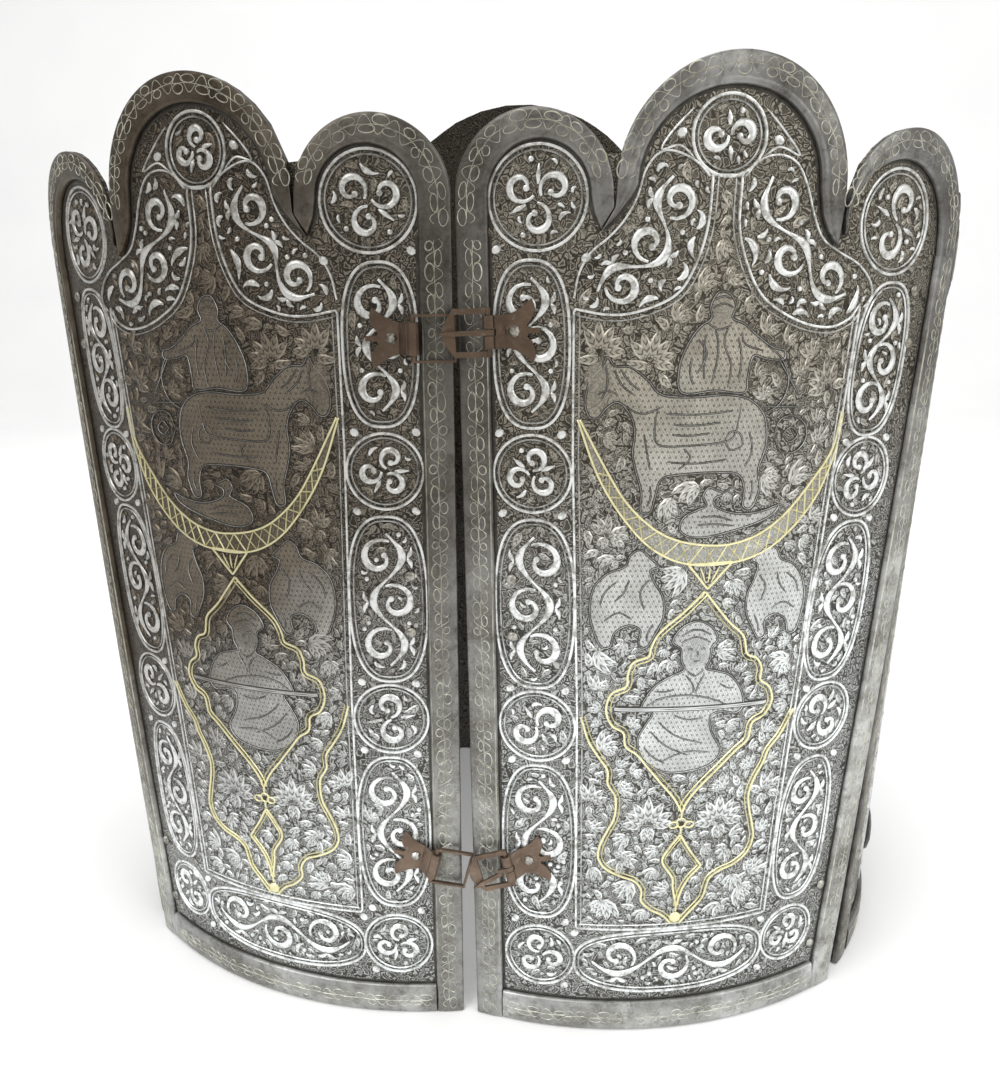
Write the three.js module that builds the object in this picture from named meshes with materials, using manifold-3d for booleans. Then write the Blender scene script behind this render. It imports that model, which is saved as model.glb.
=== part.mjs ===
// Plate cuirass: two front plates, two side plates and a back plate of steel, with applied rims,
// joined inside by riveted leather straps and closed in front by two buckles.
// Millimetres, +Z up, -Y is the wearer's front, +X is the viewer's right.
// The origin is the centre of the footprint, on the surface that the cuirass stands on.

import * as THREE from 'three';
import { mergeVertices } from 'three/addons/utils/BufferGeometryUtils.js';
import Module from 'manifold-3d';

const wasm = await Module();
wasm.setup();

// Driving dimensions
const PLAY = 0.3;
const SHEET = 1.6;
const RIM_WIDTH = 11.5;
const RIM_THICK = 2.2;
const RIM_TOP = PLAY + RIM_THICK;
const STRIP_STEP = 66;
const FRONT_Y = -109.5;
const BACK_Y = 117.63;
const FLATNESS = 0.08;
const ARCH_STEP = 7;
const CLOSE = 0.35;
const CUSP_START = 0.4;

// Plan of each plate's outer face: an arc that turns left from its start, seen from above.
const FRONT_PLAN = { x: 3.4, y: FRONT_Y, heading: -12.8, radius: 182.5, length: 182.5 };
const SIDE_PLAN_LOW = { x: 164, y: FRONT_Y + 45, heading: 53.1, radius: 130.8, length: 154 };
const SIDE_PLAN_HIGH = { x: 184, y: FRONT_Y + 69, heading: 61.3, radius: 122.4, length: 126.5 };
const BACK_PLAN = { x: 163.5, y: BACK_Y - 28, heading: 160.57, radius: 491.4, length: 333.3 };
const LEAN_HEIGHT = 340;

// Front plate outline in the flat: distance from the gap edge, and height.
const FRONT_FOOT = 165;
const FRONT_INNER_TOP = { s: -2.6, z: 325 };
const FRONT_OUTER_TOP = { s: 196, z: 316 };
const FRONT_BOTTOM_RIM = 13.5;
const FRONT_LOBES = [
  { from: -2.6, to: 50.7, spring: 335.8, rise: 26.7 },
  { from: 51.5, to: 131.3, spring: 338.1, rise: 39.9 },
  { from: 132.1, to: 196, spring: 326.5, rise: 32 },
];
const FRONT_SLITS = [{ s: 51.1, z: 331.5 }, { s: 131.7, z: 334 }];
// Lower contour of the cusped top rim between its two end joints.
const FRONT_CUSP = [
  { arc: { from: 8.9, to: 43.3, spring: 335.8, rise: 17.2 } },
  { s: 44.4, z: 330 },
  { s: 46.8, z: 324 },
  { s: 51.6, z: 328.8 },
  { s: 56.2, z: 334.5 },
  { arc: { from: 58.4, to: 121.4, spring: 338.1, rise: 30 } },
  { s: 123, z: 329.5 },
  { s: 125.6, z: 324 },
  { s: 129.5, z: 319 },
  { s: 131.6, z: 328 },
  { arc: { from: 132, to: 184.5, spring: 322.5, rise: 25.5 } },
];

// Side plate outline.
const SIDE_LENGTH = 154;
const SIDE_HEIGHT = 340;
const ARM_HOLLOW = 38;
const SIDE_BOTTOM_RIM = 13.5;
const SIDE_ROWS = 3;

// Back plate outline, measured from its middle.
const BACK_HALF = 166.65;
const BACK_HALF_TOP = { s: 176, z: 306 };
const BACK_LOBES = [
  { from: -176, to: -79.2, spring: 316, rise: 36 },
  { from: -78.2, to: 78.2, spring: 324.8, rise: 78.2 },
  { from: 79.2, to: 176, spring: 316, rise: 36 },
];
const BACK_SLITS = [{ s: -78.7, z: 310 }, { s: 78.7, z: 310 }];
const BACK_CUSP = [
  { arc: { from: -164.5, to: -86, spring: 312, rise: 28 } },
  { s: -79.5, z: 303 },
  { s: -74, z: 297 },
  { s: -69.5, z: 309 },
  { arc: { from: -66.7, to: 66.7, spring: 324.8, rise: 66.7 } },
  { s: 69.5, z: 309 },
  { s: 74, z: 297 },
  { s: 79.5, z: 303 },
  { arc: { from: 86, to: 164.5, spring: 312, rise: 28 } },
];

// Rivets
const SHANK = 1;
const HEAD = 2.1;
const HEAD_RISE = 1.1;
const TAIL = 1.8;
const TAIL_THICK = 0.8;
const RIVET_SIDES = 8;
const UPPER_RIVETS = [{ s: 173, z: 304 }, { s: 173, z: 285 }];
const LOWER_RIVETS = [{ s: 155.3, z: 53.5 }, { s: 152.3, z: 24 }];
const BORDER_RIVETS = [{ s: 16.2, z: 201.6 }, { s: 16.6, z: 178.6 }];

// Joining straps
const STRAP = 2.4;
const STRAP_REACH = 25;
const EDGE_CLEAR = 0.4;
const STRAP_LEVELS = { upper: { low: 275, high: 314 }, lower: { low: 16, high: 62 } };

// Buckles: each half turns about its leaf rivet, by tilt, to point at the gap.
const LEAF = 0.9;
const BAR = 0.95;
const ROD_SIDES = 12;
const KNUCKLE = { inner: 1.25, outer: 2.15, half: 5.6, reach: 8, height: 4.75 };
const LOOP = { length: 14.9, half: 8.3, bar: 0.9, depth: 1.5, dip: 4 };
const FRAME = { length: 12, tip: 16.9, half: 8.3, bar: 2, thick: 1.2, dip: -8.4 };
const TONGUE = { length: 16.8, width: 1.7, thick: 1.1, slot: 1.25 };
const BUCKLES = {
  upper: { left: { s: 19.4, z: 289.8, tilt: 0 }, right: { s: 17.8, z: 292.2, tilt: 2 }, swing: 0 },
  lower: { left: { s: 18.3, z: 79.1, tilt: 14 }, right: { s: 23, z: 81, tilt: 15 }, swing: 18 },
};

// Boss on the right side plate
const BOSS = { s: 64, z: 36, radius: 12.5, rise: 4 };

// Depth of a rivet's tail below the outer face, through the plate alone and through plate and strap
const DEPTH_PLATE = SHEET + PLAY;
const DEPTH_STRAP = SHEET + 2 * PLAY + STRAP;

const COLOURS = {
  plate: 0x5d574e,
  rim: 0x6b675f,
  buckle: 0x6b5348,
  rivet: 0x9a968c,
  leather: 0x3a261a,
  boss: 0x35312c,
};

const radians = (degrees) => (degrees * Math.PI) / 180;
const lerp = (a, b, t) => a + (b - a) * t;

// A point on a plan arc, at a distance along it, with the direction of travel there.
function planPoint(plan, distance) {
  const start = radians(plan.heading);
  const here = start + distance / plan.radius;
  return {
    x: plan.x + plan.radius * (Math.sin(here) - Math.sin(start)),
    y: plan.y + plan.radius * (Math.cos(start) - Math.cos(here)),
    tangent: new THREE.Vector2(Math.cos(here), Math.sin(here)),
  };
}

// A panel's outer face is ruled between a low and a high plan arc; mirror is -1 on the viewer's left.
// Heights off the face are measured level, so that every piece of a panel shares one foot.
function makePanel(low, high, length, mirror, start = 0) {
  const frame = (s, z) => {
    const share = (s - start) / length;
    const a = planPoint(low, share * low.length);
    const b = planPoint(high, share * high.length);
    const t = z / LEAN_HEIGHT;
    const along = new THREE.Vector3(lerp(a.tangent.x, b.tangent.x, t), lerp(a.tangent.y, b.tangent.y, t), 0);
    const out = new THREE.Vector3(along.y, -along.x, 0).normalize();
    const point = new THREE.Vector3(lerp(a.x, b.x, t), lerp(a.y, b.y, t), z);
    for (const v of [along, out, point]) v.x *= mirror;
    return { point, out, along: along.normalize() };
  };
  const at = (s, z, h) => {
    const f = frame(s, z);
    return f.point.addScaledVector(f.out, h);
  };
  const column = Math.sqrt(8 * FLATNESS * low.radius);
  return { at, frame, mirror, column };
}

const frontPanel = (mirror) => makePanel(FRONT_PLAN, FRONT_PLAN, FRONT_PLAN.length, mirror);
const sidePanel = (mirror) => makePanel(SIDE_PLAN_LOW, SIDE_PLAN_HIGH, SIDE_LENGTH, mirror);
const backPanel = makePanel(BACK_PLAN, BACK_PLAN, BACK_PLAN.length, 1, -BACK_HALF);

// Closed geometry from points and faces, with its faces turned outwards.
function closedGeometry(points, faces) {
  let volume = 0;
  for (const [a, b, c] of faces) volume += points[a].dot(points[b].clone().cross(points[c]));
  const ordered = volume < 0 ? faces.map(([a, b, c]) => [a, c, b]) : faces;
  const geometry = new THREE.BufferGeometry();
  geometry.setAttribute('position', new THREE.Float32BufferAttribute(points.flatMap((p) => p.toArray()), 3));
  geometry.setIndex(ordered.flat());
  return geometry;
}

// A slab over a grid of [s, z] stations, columns of equal length, between two heights off a panel's face.
function slab(panel, columns, low, high) {
  return block(columns.map((column) => column.map(([s, z]) => [panel.at(s, z, low), panel.at(s, z, high)])));
}

// A closed block from columns of [inner point, outer point] pairs.
function block(columns) {
  const rows = columns[0].length;
  const last = columns.length - 1;
  const points = columns.flat(2);
  const index = (i, j, layer) => (i * rows + j) * 2 + layer;
  const faces = [];
  const quad = (a, b, c, d) => faces.push([a, b, c], [a, c, d]);
  for (let i = 0; i < last; i += 1) {
    for (let j = 0; j < rows - 1; j += 1) {
      quad(index(i, j, 1), index(i + 1, j, 1), index(i + 1, j + 1, 1), index(i, j + 1, 1));
      quad(index(i, j, 0), index(i, j + 1, 0), index(i + 1, j + 1, 0), index(i + 1, j, 0));
    }
    quad(index(i, 0, 0), index(i + 1, 0, 0), index(i + 1, 0, 1), index(i, 0, 1));
    quad(index(i, rows - 1, 1), index(i + 1, rows - 1, 1), index(i + 1, rows - 1, 0), index(i, rows - 1, 0));
  }
  for (let j = 0; j < rows - 1; j += 1) {
    quad(index(0, j, 0), index(0, j, 1), index(0, j + 1, 1), index(0, j + 1, 0));
    quad(index(last, j, 1), index(last, j, 0), index(last, j + 1, 0), index(last, j + 1, 1));
  }
  return closedGeometry(points, faces);
}

function toSolid(geometry) {
  const bare = geometry.clone();
  bare.deleteAttribute('normal');
  bare.deleteAttribute('uv');
  const merged = mergeVertices(bare, 1e-4);
  return new wasm.Manifold(new wasm.Mesh({
    numProp: 3,
    vertProperties: new Float32Array(merged.attributes.position.array),
    triVerts: new Uint32Array(merged.index.array),
  }));
}

function toGeometry(solid) {
  const mesh = solid.getMesh();
  const geometry = new THREE.BufferGeometry();
  geometry.setAttribute('position', new THREE.Float32BufferAttribute(mesh.vertProperties, 3));
  geometry.setIndex(new THREE.Uint32BufferAttribute(mesh.triVerts, 1));
  return geometry;
}

// Even stations from one distance to another, no further apart than a step.
function stations(from, to, step) {
  const count = Math.max(1, Math.ceil(Math.abs(to - from) / step));
  return Array.from({ length: count + 1 }, (_, i) => lerp(from, to, i / count));
}

// Points along a half ellipse that rises from its spring line.
function archPoints(arch) {
  const half = (arch.to - arch.from) / 2;
  const middle = (arch.to + arch.from) / 2;
  const count = Math.ceil(half / ARCH_STEP) * 2;
  return Array.from({ length: count + 1 }, (_, i) => {
    const turn = (Math.PI * i) / count;
    return { s: middle - half * Math.cos(turn), z: arch.spring + arch.rise * Math.sin(turn) };
  });
}

// A contour as a function of the distance along the panel, straight between its points.
function contour(points) {
  return (s) => {
    const next = points.findIndex((p) => p.s >= s);
    if (next <= 0) return points[next === 0 ? 0 : points.length - 1].z;
    const a = points[next - 1];
    const b = points[next];
    return b.s === a.s ? b.z : lerp(a.z, b.z, (s - a.s) / (b.s - a.s));
  };
}

// The lobed upper outline: arches with a slit between each two.
function crest(lobes, slits) {
  return lobes.flatMap((lobe, i) => [...archPoints(lobe), ...(slits[i] ? [slits[i]] : [])]);
}

const cuspContour = (cusp) => cusp.flatMap((item) => (item.arc ? archPoints(item.arc) : [item]));

// Columns from a lower to an upper contour, with a station at each point of either.
function contourColumns(lower, upper, from, to, step) {
  const marks = [...lower, ...upper].map((p) => p.s).filter((s) => s > from && s < to).sort((a, b) => a - b);
  const kept = marks.reduce((list, s) => (s - list[list.length - 1] < CLOSE ? list : [...list, s]), [from]);
  if (to - kept[kept.length - 1] < CLOSE) kept.pop();
  const filled = [...kept, to].flatMap((s, i, all) => (i === 0 ? [s] : stations(all[i - 1], s, step).slice(1)));
  const low = contour(lower);
  const high = contour(upper);
  return filled.map((s) => [[s, low(s)], [s, high(s)]]);
}

const pieces = new THREE.Group();
const panels = {};

const METALNESS = { plate: 0.8, rim: 0.85, buckle: 0.7, rivet: 0.9, leather: 0, boss: 0.6 };

const materials = {};
for (const [name, metalness] of Object.entries(METALNESS)) {
  const roughness = name === 'leather' ? 0.7 : 0.42;
  materials[name] = new THREE.MeshStandardMaterial({ color: COLOURS[name], metalness, roughness });
}

function addPiece(name, geometry, material, placement = new THREE.Matrix4()) {
  geometry.computeVertexNormals();
  const mesh = new THREE.Mesh(geometry, materials[material]);
  mesh.name = name;
  mesh.applyMatrix4(placement);
  pieces.add(mesh);
}

// A turned rivet whose profile is revolved about the panel's normal.
function rivetGeometry(panel, s, z, { seat, depth }) {
  const profile = [
    [0, -depth - TAIL_THICK], [TAIL, -depth - TAIL_THICK], [TAIL, -depth], [SHANK, -depth],
    [SHANK, seat], [HEAD, seat], [HEAD * 0.6, seat + HEAD_RISE * 0.8], [0, seat + HEAD_RISE],
  ].map(([r, h]) => new THREE.Vector2(r, h));
  return placeOnPanel(new THREE.LatheGeometry(profile, RIVET_SIDES), panel, s, z);
}

function placeOnPanel(geometry, panel, s, z) {
  const { point, out } = panel.frame(s, z);
  const turn = new THREE.Quaternion().setFromUnitVectors(new THREE.Vector3(0, 1, 0), out);
  geometry.applyQuaternion(turn);
  geometry.translate(point.x, point.y, point.z);
  return geometry;
}

// The clearance hole that a rivet's shank passes through.
function shankHole(panel, s, z) {
  const hole = new THREE.CylinderGeometry(SHANK + PLAY, SHANK + PLAY, 16, RIVET_SIDES);
  return toSolid(placeOnPanel(hole, panel, s, z));
}

const drill = (solid, panel, spots) => spots.reduce(
  (left, spot) => left.subtract(shankHole(panel, spot.s, spot.z)),
  solid,
);

// Front plates
function frontEdges() {
  const inner = (z) => lerp(0, FRONT_INNER_TOP.s, z / FRONT_INNER_TOP.z);
  const outer = (z) => lerp(FRONT_FOOT, FRONT_OUTER_TOP.s, z / FRONT_OUTER_TOP.z);
  return { inner, outer };
}

function addFront(side, mirror) {
  const panel = frontPanel(mirror);
  const { inner, outer } = frontEdges();
  const top = crest(FRONT_LOBES, FRONT_SLITS);
  const foot = [FRONT_INNER_TOP, { s: 0, z: 0 }, { s: FRONT_FOOT, z: 0 }, FRONT_OUTER_TOP];
  const bounds = [FRONT_INNER_TOP.s, FRONT_OUTER_TOP.s, panel.column];
  const plateColumns = contourColumns(foot, top, ...bounds);
  const buckleSpots = Object.values(BUCKLES).map((buckle) => buckle[side]);
  const spots = [...UPPER_RIVETS, ...LOWER_RIVETS, ...BORDER_RIVETS, ...buckleSpots];
  const plate = drill(toSolid(slab(panel, plateColumns, -SHEET, 0)), panel, spots);
  addPiece(`front_${side}_plate`, toGeometry(plate), 'plate');

  const strip = (edge, across, height) => across.map(
    (d) => stations(0, height, STRIP_STEP).map((z) => [edge(z) + d, z]),
  );
  const rim = (name, columns) => {
    addPiece(`front_${side}_${name}_rim`, slab(panel, columns, PLAY, RIM_TOP), 'rim');
  };
  rim('inner', strip(inner, [0, RIM_WIDTH / 2, RIM_WIDTH], FRONT_INNER_TOP.z));
  rim('outer', strip(outer, [-RIM_WIDTH, -RIM_WIDTH / 2, 0], FRONT_OUTER_TOP.z));
  const between = stations(RIM_WIDTH + PLAY, FRONT_FOOT - RIM_WIDTH - PLAY, panel.column);
  rim('bottom', between.map((s) => [[s, 0], [s, FRONT_BOTTOM_RIM]]));
  const cusp = cuspContour(FRONT_CUSP);
  const lower = [
    { s: FRONT_INNER_TOP.s, z: FRONT_INNER_TOP.z + PLAY },
    { s: cusp[0].s - CUSP_START, z: FRONT_INNER_TOP.z + PLAY },
    ...cusp,
    { s: cusp[cusp.length - 1].s + CUSP_START, z: FRONT_OUTER_TOP.z + PLAY },
    { s: FRONT_OUTER_TOP.s, z: FRONT_OUTER_TOP.z + PLAY },
  ];
  rim('top', contourColumns(lower, top, ...bounds));

  const rivets = { upper: UPPER_RIVETS, lower: LOWER_RIVETS };
  for (const [level, row] of Object.entries(rivets)) {
    row.forEach((spot, i) => {
      const geometry = rivetGeometry(panel, spot.s, spot.z, { seat: PLAY, depth: DEPTH_STRAP });
      addPiece(`front_${side}_${level}_rivet_${i + 1}`, geometry, 'rivet');
    });
  }
  BORDER_RIVETS.forEach((spot, i) => {
    const geometry = rivetGeometry(panel, spot.s, spot.z, { seat: PLAY, depth: DEPTH_PLATE });
    addPiece(`front_${side}_border_rivet_${i + 1}`, geometry, 'rivet');
  });
  panels[`front_${side}`] = panel;
}

// Side plates
const armLine = (s) => SIDE_HEIGHT - ARM_HOLLOW * Math.sin((Math.PI * s) / SIDE_LENGTH);

function addSide(side, mirror) {
  const panel = sidePanel(mirror);
  const column = (s) => stations(0, 1, 1 / SIDE_ROWS).map((t) => [s, t * armLine(s)]);
  const columns = stations(0, SIDE_LENGTH, panel.column).map(column);
  addPiece(`side_${side}_plate`, slab(panel, columns, -SHEET, 0), 'plate');
  const rim = (name, grid) => addPiece(`side_${side}_${name}_rim`, slab(panel, grid, PLAY, RIM_TOP), 'rim');
  const edge = (from, to) => [from, (from + to) / 2, to].map(column);
  rim('front', edge(0, RIM_WIDTH));
  rim('rear', edge(SIDE_LENGTH - RIM_WIDTH, SIDE_LENGTH));
  const between = stations(RIM_WIDTH + PLAY, SIDE_LENGTH - RIM_WIDTH - PLAY, panel.column);
  rim('bottom', between.map((s) => [[s, 0], [s, SIDE_BOTTOM_RIM]]));
  rim('top', between.map((s) => [[s, armLine(s) - RIM_WIDTH], [s, armLine(s)]]));
  panels[`side_${side}`] = panel;
}

// Back plate
const backEdge = (z) => lerp(BACK_HALF, BACK_HALF_TOP.s, z / BACK_HALF_TOP.z);

function addBack() {
  const top = crest(BACK_LOBES, BACK_SLITS);
  const foot = [
    { s: -BACK_HALF_TOP.s, z: BACK_HALF_TOP.z },
    { s: -BACK_HALF, z: 0 },
    { s: BACK_HALF, z: 0 },
    { s: BACK_HALF_TOP.s, z: BACK_HALF_TOP.z },
  ];
  const bounds = [-BACK_HALF_TOP.s, BACK_HALF_TOP.s, backPanel.column];
  addPiece('back_plate', slab(backPanel, contourColumns(foot, top, ...bounds), -SHEET, 0), 'plate');
  const rim = (name, grid) => addPiece(`back_${name}_rim`, slab(backPanel, grid, PLAY, RIM_TOP), 'rim');
  const joint = BACK_HALF_TOP.z;
  for (const [name, hand] of [['right', -1], ['left', 1]]) {
    const across = [0, -RIM_WIDTH / 2, -RIM_WIDTH];
    rim(name, across.map((d) => [0, 0.5, 1].map((t) => [hand * (backEdge(t * joint) + d), t * joint])));
  }
  const reach = BACK_HALF - RIM_WIDTH - PLAY;
  rim('bottom', stations(-reach, reach, backPanel.column).map((s) => [[s, 0], [s, SIDE_BOTTOM_RIM]]));
  const cusp = cuspContour(BACK_CUSP);
  const end = cusp[cusp.length - 1].s + CUSP_START;
  const level = joint + PLAY;
  const lower = [
    { s: -BACK_HALF_TOP.s, z: level }, { s: -end, z: level },
    ...cusp,
    { s: end, z: level }, { s: BACK_HALF_TOP.s, z: level },
  ];
  rim('top', contourColumns(lower, top, ...bounds));
}

// A joining strap follows the inner faces of two panels across their junction.
function strapGeometry(first, second, level) {
  const { low, high } = STRAP_LEVELS[level];
  const outer = -SHEET - PLAY;
  const path = (z) => [...first(z), ...second(z)];
  const ends = [low, (low + high) / 2, high].map((z) => path(z));
  return block(ends[0].map((_, i) => ends.map((row) => [
    row[i].panel.at(row[i].s, row[i].z, outer - STRAP),
    row[i].panel.at(row[i].s, row[i].z, outer),
  ])));
}

const strapSteps = [0, 1, 2, 3].map((i) => lerp(STRAP_REACH, EDGE_CLEAR, i / 3));

function addStraps(side) {
  const front = panels[`front_${side}`];
  const flank = panels[`side_${side}`];
  const { outer } = frontEdges();
  const hand = flank.mirror > 0 ? -1 : 1;
  for (const level of ['upper', 'lower']) {
    const onFront = (z) => strapSteps.map((d) => ({ panel: front, s: outer(z) - d, z }));
    const onFlankFront = (z) => [...strapSteps].reverse().map((d) => ({ panel: flank, s: d, z }));
    const onFlankRear = (z) => strapSteps.map((d) => ({ panel: flank, s: SIDE_LENGTH - d, z }));
    const onBackAt = (d, z) => ({ panel: backPanel, s: hand * (backEdge(z) - d), z });
    const onBack = (z) => [...strapSteps].reverse().map((d) => onBackAt(d, z));
    const holes = level === 'upper' ? UPPER_RIVETS : LOWER_RIVETS;
    const forward = drill(toSolid(strapGeometry(onFront, onFlankFront, level)), front, holes);
    addPiece(`strap_${side}_front_${level}`, toGeometry(forward), 'leather');
    addPiece(`strap_${side}_rear_${level}`, strapGeometry(onFlankRear, onBack, level), 'leather');
  }
}

// Buckles. A leaf's own frame has its rivet at the origin, +X away from the gap and +Z outwards.
function leafOutline() {
  const shape = new THREE.Shape();
  shape.moveTo(-2.6, -KNUCKLE.half);
  shape.quadraticCurveTo(1.5, -6.2, 6.4, -10.6);
  shape.quadraticCurveTo(9.2, -6.2, 4.6, -1.9);
  shape.lineTo(5.2, -1);
  shape.lineTo(9.2, -0.9);
  shape.lineTo(9.2, 0.9);
  shape.lineTo(5.2, 1);
  shape.lineTo(4.6, 1.9);
  shape.quadraticCurveTo(9.2, 6.2, 6.4, 10.6);
  shape.quadraticCurveTo(1.5, 6.2, -2.6, KNUCKLE.half);
  return shape;
}

const extruded = (shape, depth, segments = 5) => new THREE.ExtrudeGeometry(
  shape,
  { depth, bevelEnabled: false, curveSegments: segments },
);

const polygon = (corners) => new THREE.Shape(corners.map(([x, y]) => new THREE.Vector2(x, y)));

const rod = (radius, half) => new THREE.CylinderGeometry(radius, radius, half * 2, ROD_SIDES);

function boxBetween([x0, x1], [y0, y1], [z0, z1]) {
  const box = new THREE.BoxGeometry(x1 - x0, y1 - y0, z1 - z0);
  return box.translate((x0 + x1) / 2, (y0 + y1) / 2, (z0 + z1) / 2);
}

// The leaf lies on the plate, climbs over the rim's edge and rolls round a bar.
// A slot leaves room for a tongue.
function leafSolid(slotted) {
  const atKnuckle = (geometry) => toSolid(geometry.translate(-KNUCKLE.reach, 0, KNUCKLE.height));
  const flat = toSolid(extruded(leafOutline(), LEAF).translate(0, 0, PLAY));
  const climb = polygon([[-2.2, PLAY], [-4.6, 2.9], [-7, 3], [-7, 4.9], [-5.4, 4.4], [-2.6, PLAY + LEAF]]);
  const rise = extruded(climb, KNUCKLE.half * 2).translate(0, 0, -KNUCKLE.half).rotateX(Math.PI / 2);
  const leaf = flat.add(toSolid(rise)).add(atKnuckle(rod(KNUCKLE.outer, KNUCKLE.half)));
  const rolled = leaf.subtract(atKnuckle(rod(KNUCKLE.inner, KNUCKLE.half + 2)));
  const hole = new THREE.CylinderGeometry(SHANK + PLAY, SHANK + PLAY, 8, RIVET_SIDES).rotateX(Math.PI / 2);
  const pierced = rolled.subtract(toSolid(hole));
  if (!slotted) return pierced;
  const room = KNUCKLE.outer + PLAY;
  return pierced.subtract(atKnuckle(boxBetween([-room, room], [-TONGUE.slot, TONGUE.slot], [-room, 5])));
}

// In a link's own frame the hinge bar is the Y axis, +X points over the gap and +Z outwards.
function loopSolid() {
  const { length, half, bar, depth } = LOOP;
  const outer = boxBetween([0, length], [-half, half], [-depth / 2, depth / 2]);
  const window = boxBetween([0, length - bar], [bar - half, half - bar], [-depth, depth]);
  return toSolid(outer).subtract(toSolid(window)).add(toSolid(rod(BAR, half - 0.1)));
}

function frameSolid() {
  const { length, tip, half, bar, thick } = FRAME;
  const shape = new THREE.Shape();
  shape.moveTo(0, -half);
  shape.lineTo(length, -half);
  shape.lineTo(tip - 1.6, -half * 0.45);
  shape.quadraticCurveTo(tip + 0.8, 0, tip - 1.6, half * 0.45);
  shape.lineTo(length, half);
  shape.lineTo(0, half);
  const plate = toSolid(extruded(shape, thick).translate(0, 0, -thick / 2));
  const window = toSolid(boxBetween([-1, length - 0.4], [bar - half, half - bar], [-thick, thick]));
  return plate.subtract(window).add(toSolid(rod(BAR, half - 0.1)));
}

function tongueSolid(swing) {
  const { length, width, thick, slot } = TONGUE;
  const reach = slot - PLAY;
  const level = FRAME.thick / 2 + PLAY;
  const taper = length * 0.75;
  const outline = polygon([
    [3, -width / 2], [taper, -width / 2], [length, -0.35],
    [length, 0.35], [taper, width / 2], [3, width / 2],
  ]);
  const arm = toSolid(extruded(outline, thick).translate(0, 0, level).rotateZ(radians(swing)));
  const shoulder = toSolid(boxBetween([0, 4.4], [-reach, reach], [level, level + thick]));
  const eye = toSolid(rod(KNUCKLE.outer, reach)).add(shoulder);
  return eye.subtract(toSolid(rod(KNUCKLE.inner, reach * 2))).add(arm);
}

// A leaf's frame in the world: at its rivet, turned in its own plane so that its knuckle points down.
function leafMatrix(panel, { s, z, tilt }) {
  const { point, out, along } = panel.frame(s, z);
  const basis = new THREE.Matrix4().makeBasis(along, out.clone().cross(along), out);
  return basis.multiply(new THREE.Matrix4().makeRotationZ(radians(tilt) * panel.mirror)).setPosition(point);
}

// A link's frame: at the leaf's knuckle, facing the gap, dipped towards the plates by an angle.
function linkMatrix(leaf, dip) {
  const knuckle = new THREE.Matrix4().makeTranslation(-KNUCKLE.reach, 0, KNUCKLE.height);
  const facing = new THREE.Matrix4().makeRotationZ(Math.PI);
  const dipped = new THREE.Matrix4().makeRotationY(radians(dip));
  return leaf.clone().multiply(knuckle).multiply(facing).multiply(dipped);
}

function addBuckle(level) {
  const buckle = BUCKLES[level];
  const name = (part) => `buckle_${level}_${part}`;
  const left = leafMatrix(panels.front_left, buckle.left);
  const right = leafMatrix(panels.front_right, buckle.right);
  const link = linkMatrix(right, FRAME.dip);
  addPiece(name('left_leaf'), toGeometry(leafSolid(false)), 'buckle', left);
  addPiece(name('loop'), toGeometry(loopSolid()), 'buckle', linkMatrix(left, LOOP.dip));
  addPiece(name('right_leaf'), toGeometry(leafSolid(true)), 'buckle', right);
  addPiece(name('frame'), toGeometry(frameSolid()), 'buckle', link);
  addPiece(name('tongue'), toGeometry(tongueSolid(buckle.swing)), 'buckle', link);
  for (const side of ['left', 'right']) {
    const { s, z } = buckle[side];
    const shape = { seat: 2 * PLAY + LEAF, depth: DEPTH_PLATE };
    addPiece(name(`${side}_rivet`), rivetGeometry(panels[`front_${side}`], s, z, shape), 'rivet');
  }
}

function addBoss() {
  const { s, z, radius, rise } = BOSS;
  const profile = [[0, PLAY], [radius, PLAY], [radius, PLAY + 0.8]];
  for (let step = 1; step <= 4; step += 1) {
    const turn = (Math.PI / 2) * (step / 4);
    profile.push([step === 4 ? 0 : radius * Math.cos(turn), PLAY + 0.8 + (rise - 0.8) * Math.sin(turn)]);
  }
  const geometry = new THREE.LatheGeometry(profile.map(([r, h]) => new THREE.Vector2(r, h)), 16);
  addPiece('side_right_boss', placeOnPanel(geometry, panels.side_right, s, z), 'boss');
}

for (const [side, mirror] of [['right', 1], ['left', -1]]) {
  addFront(side, mirror);
  addSide(side, mirror);
}
addBack();
for (const side of ['right', 'left']) addStraps(side);
for (const level of ['upper', 'lower']) addBuckle(level);
addBoss();

export default pieces;
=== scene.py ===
"""Plate cuirass: the finish and the fine relief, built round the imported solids.

Lengths are in millimetres and become metres where a mesh is made.
A place on a plate is (s, z, h): along the plate, height above the floor, and height off its outer face.
"""

import math

import bpy
import numpy as np
from mathutils import Matrix, Vector


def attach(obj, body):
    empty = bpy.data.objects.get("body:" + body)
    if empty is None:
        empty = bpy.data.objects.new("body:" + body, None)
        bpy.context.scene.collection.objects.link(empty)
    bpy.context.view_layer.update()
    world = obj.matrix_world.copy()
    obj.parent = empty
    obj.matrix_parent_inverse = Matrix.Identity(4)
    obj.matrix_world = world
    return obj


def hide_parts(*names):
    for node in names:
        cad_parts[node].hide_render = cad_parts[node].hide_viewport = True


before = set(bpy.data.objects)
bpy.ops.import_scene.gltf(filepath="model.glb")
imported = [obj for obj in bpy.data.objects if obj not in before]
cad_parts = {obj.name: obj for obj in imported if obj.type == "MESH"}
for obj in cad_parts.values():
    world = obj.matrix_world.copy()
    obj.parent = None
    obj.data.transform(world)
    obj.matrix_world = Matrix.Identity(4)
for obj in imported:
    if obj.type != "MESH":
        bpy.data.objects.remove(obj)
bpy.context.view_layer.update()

bl_info = {
    "name": "Plate Cuirass",
    "version": (1, 0, 0),
    "blender": (4, 5, 0),
    "location": "View3D > Sidebar > Cuirass",
    "description": "Dresses a five-plate cuirass with rims, inlay, foliage, buckles and straps",
    "category": "Object",
}

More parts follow.
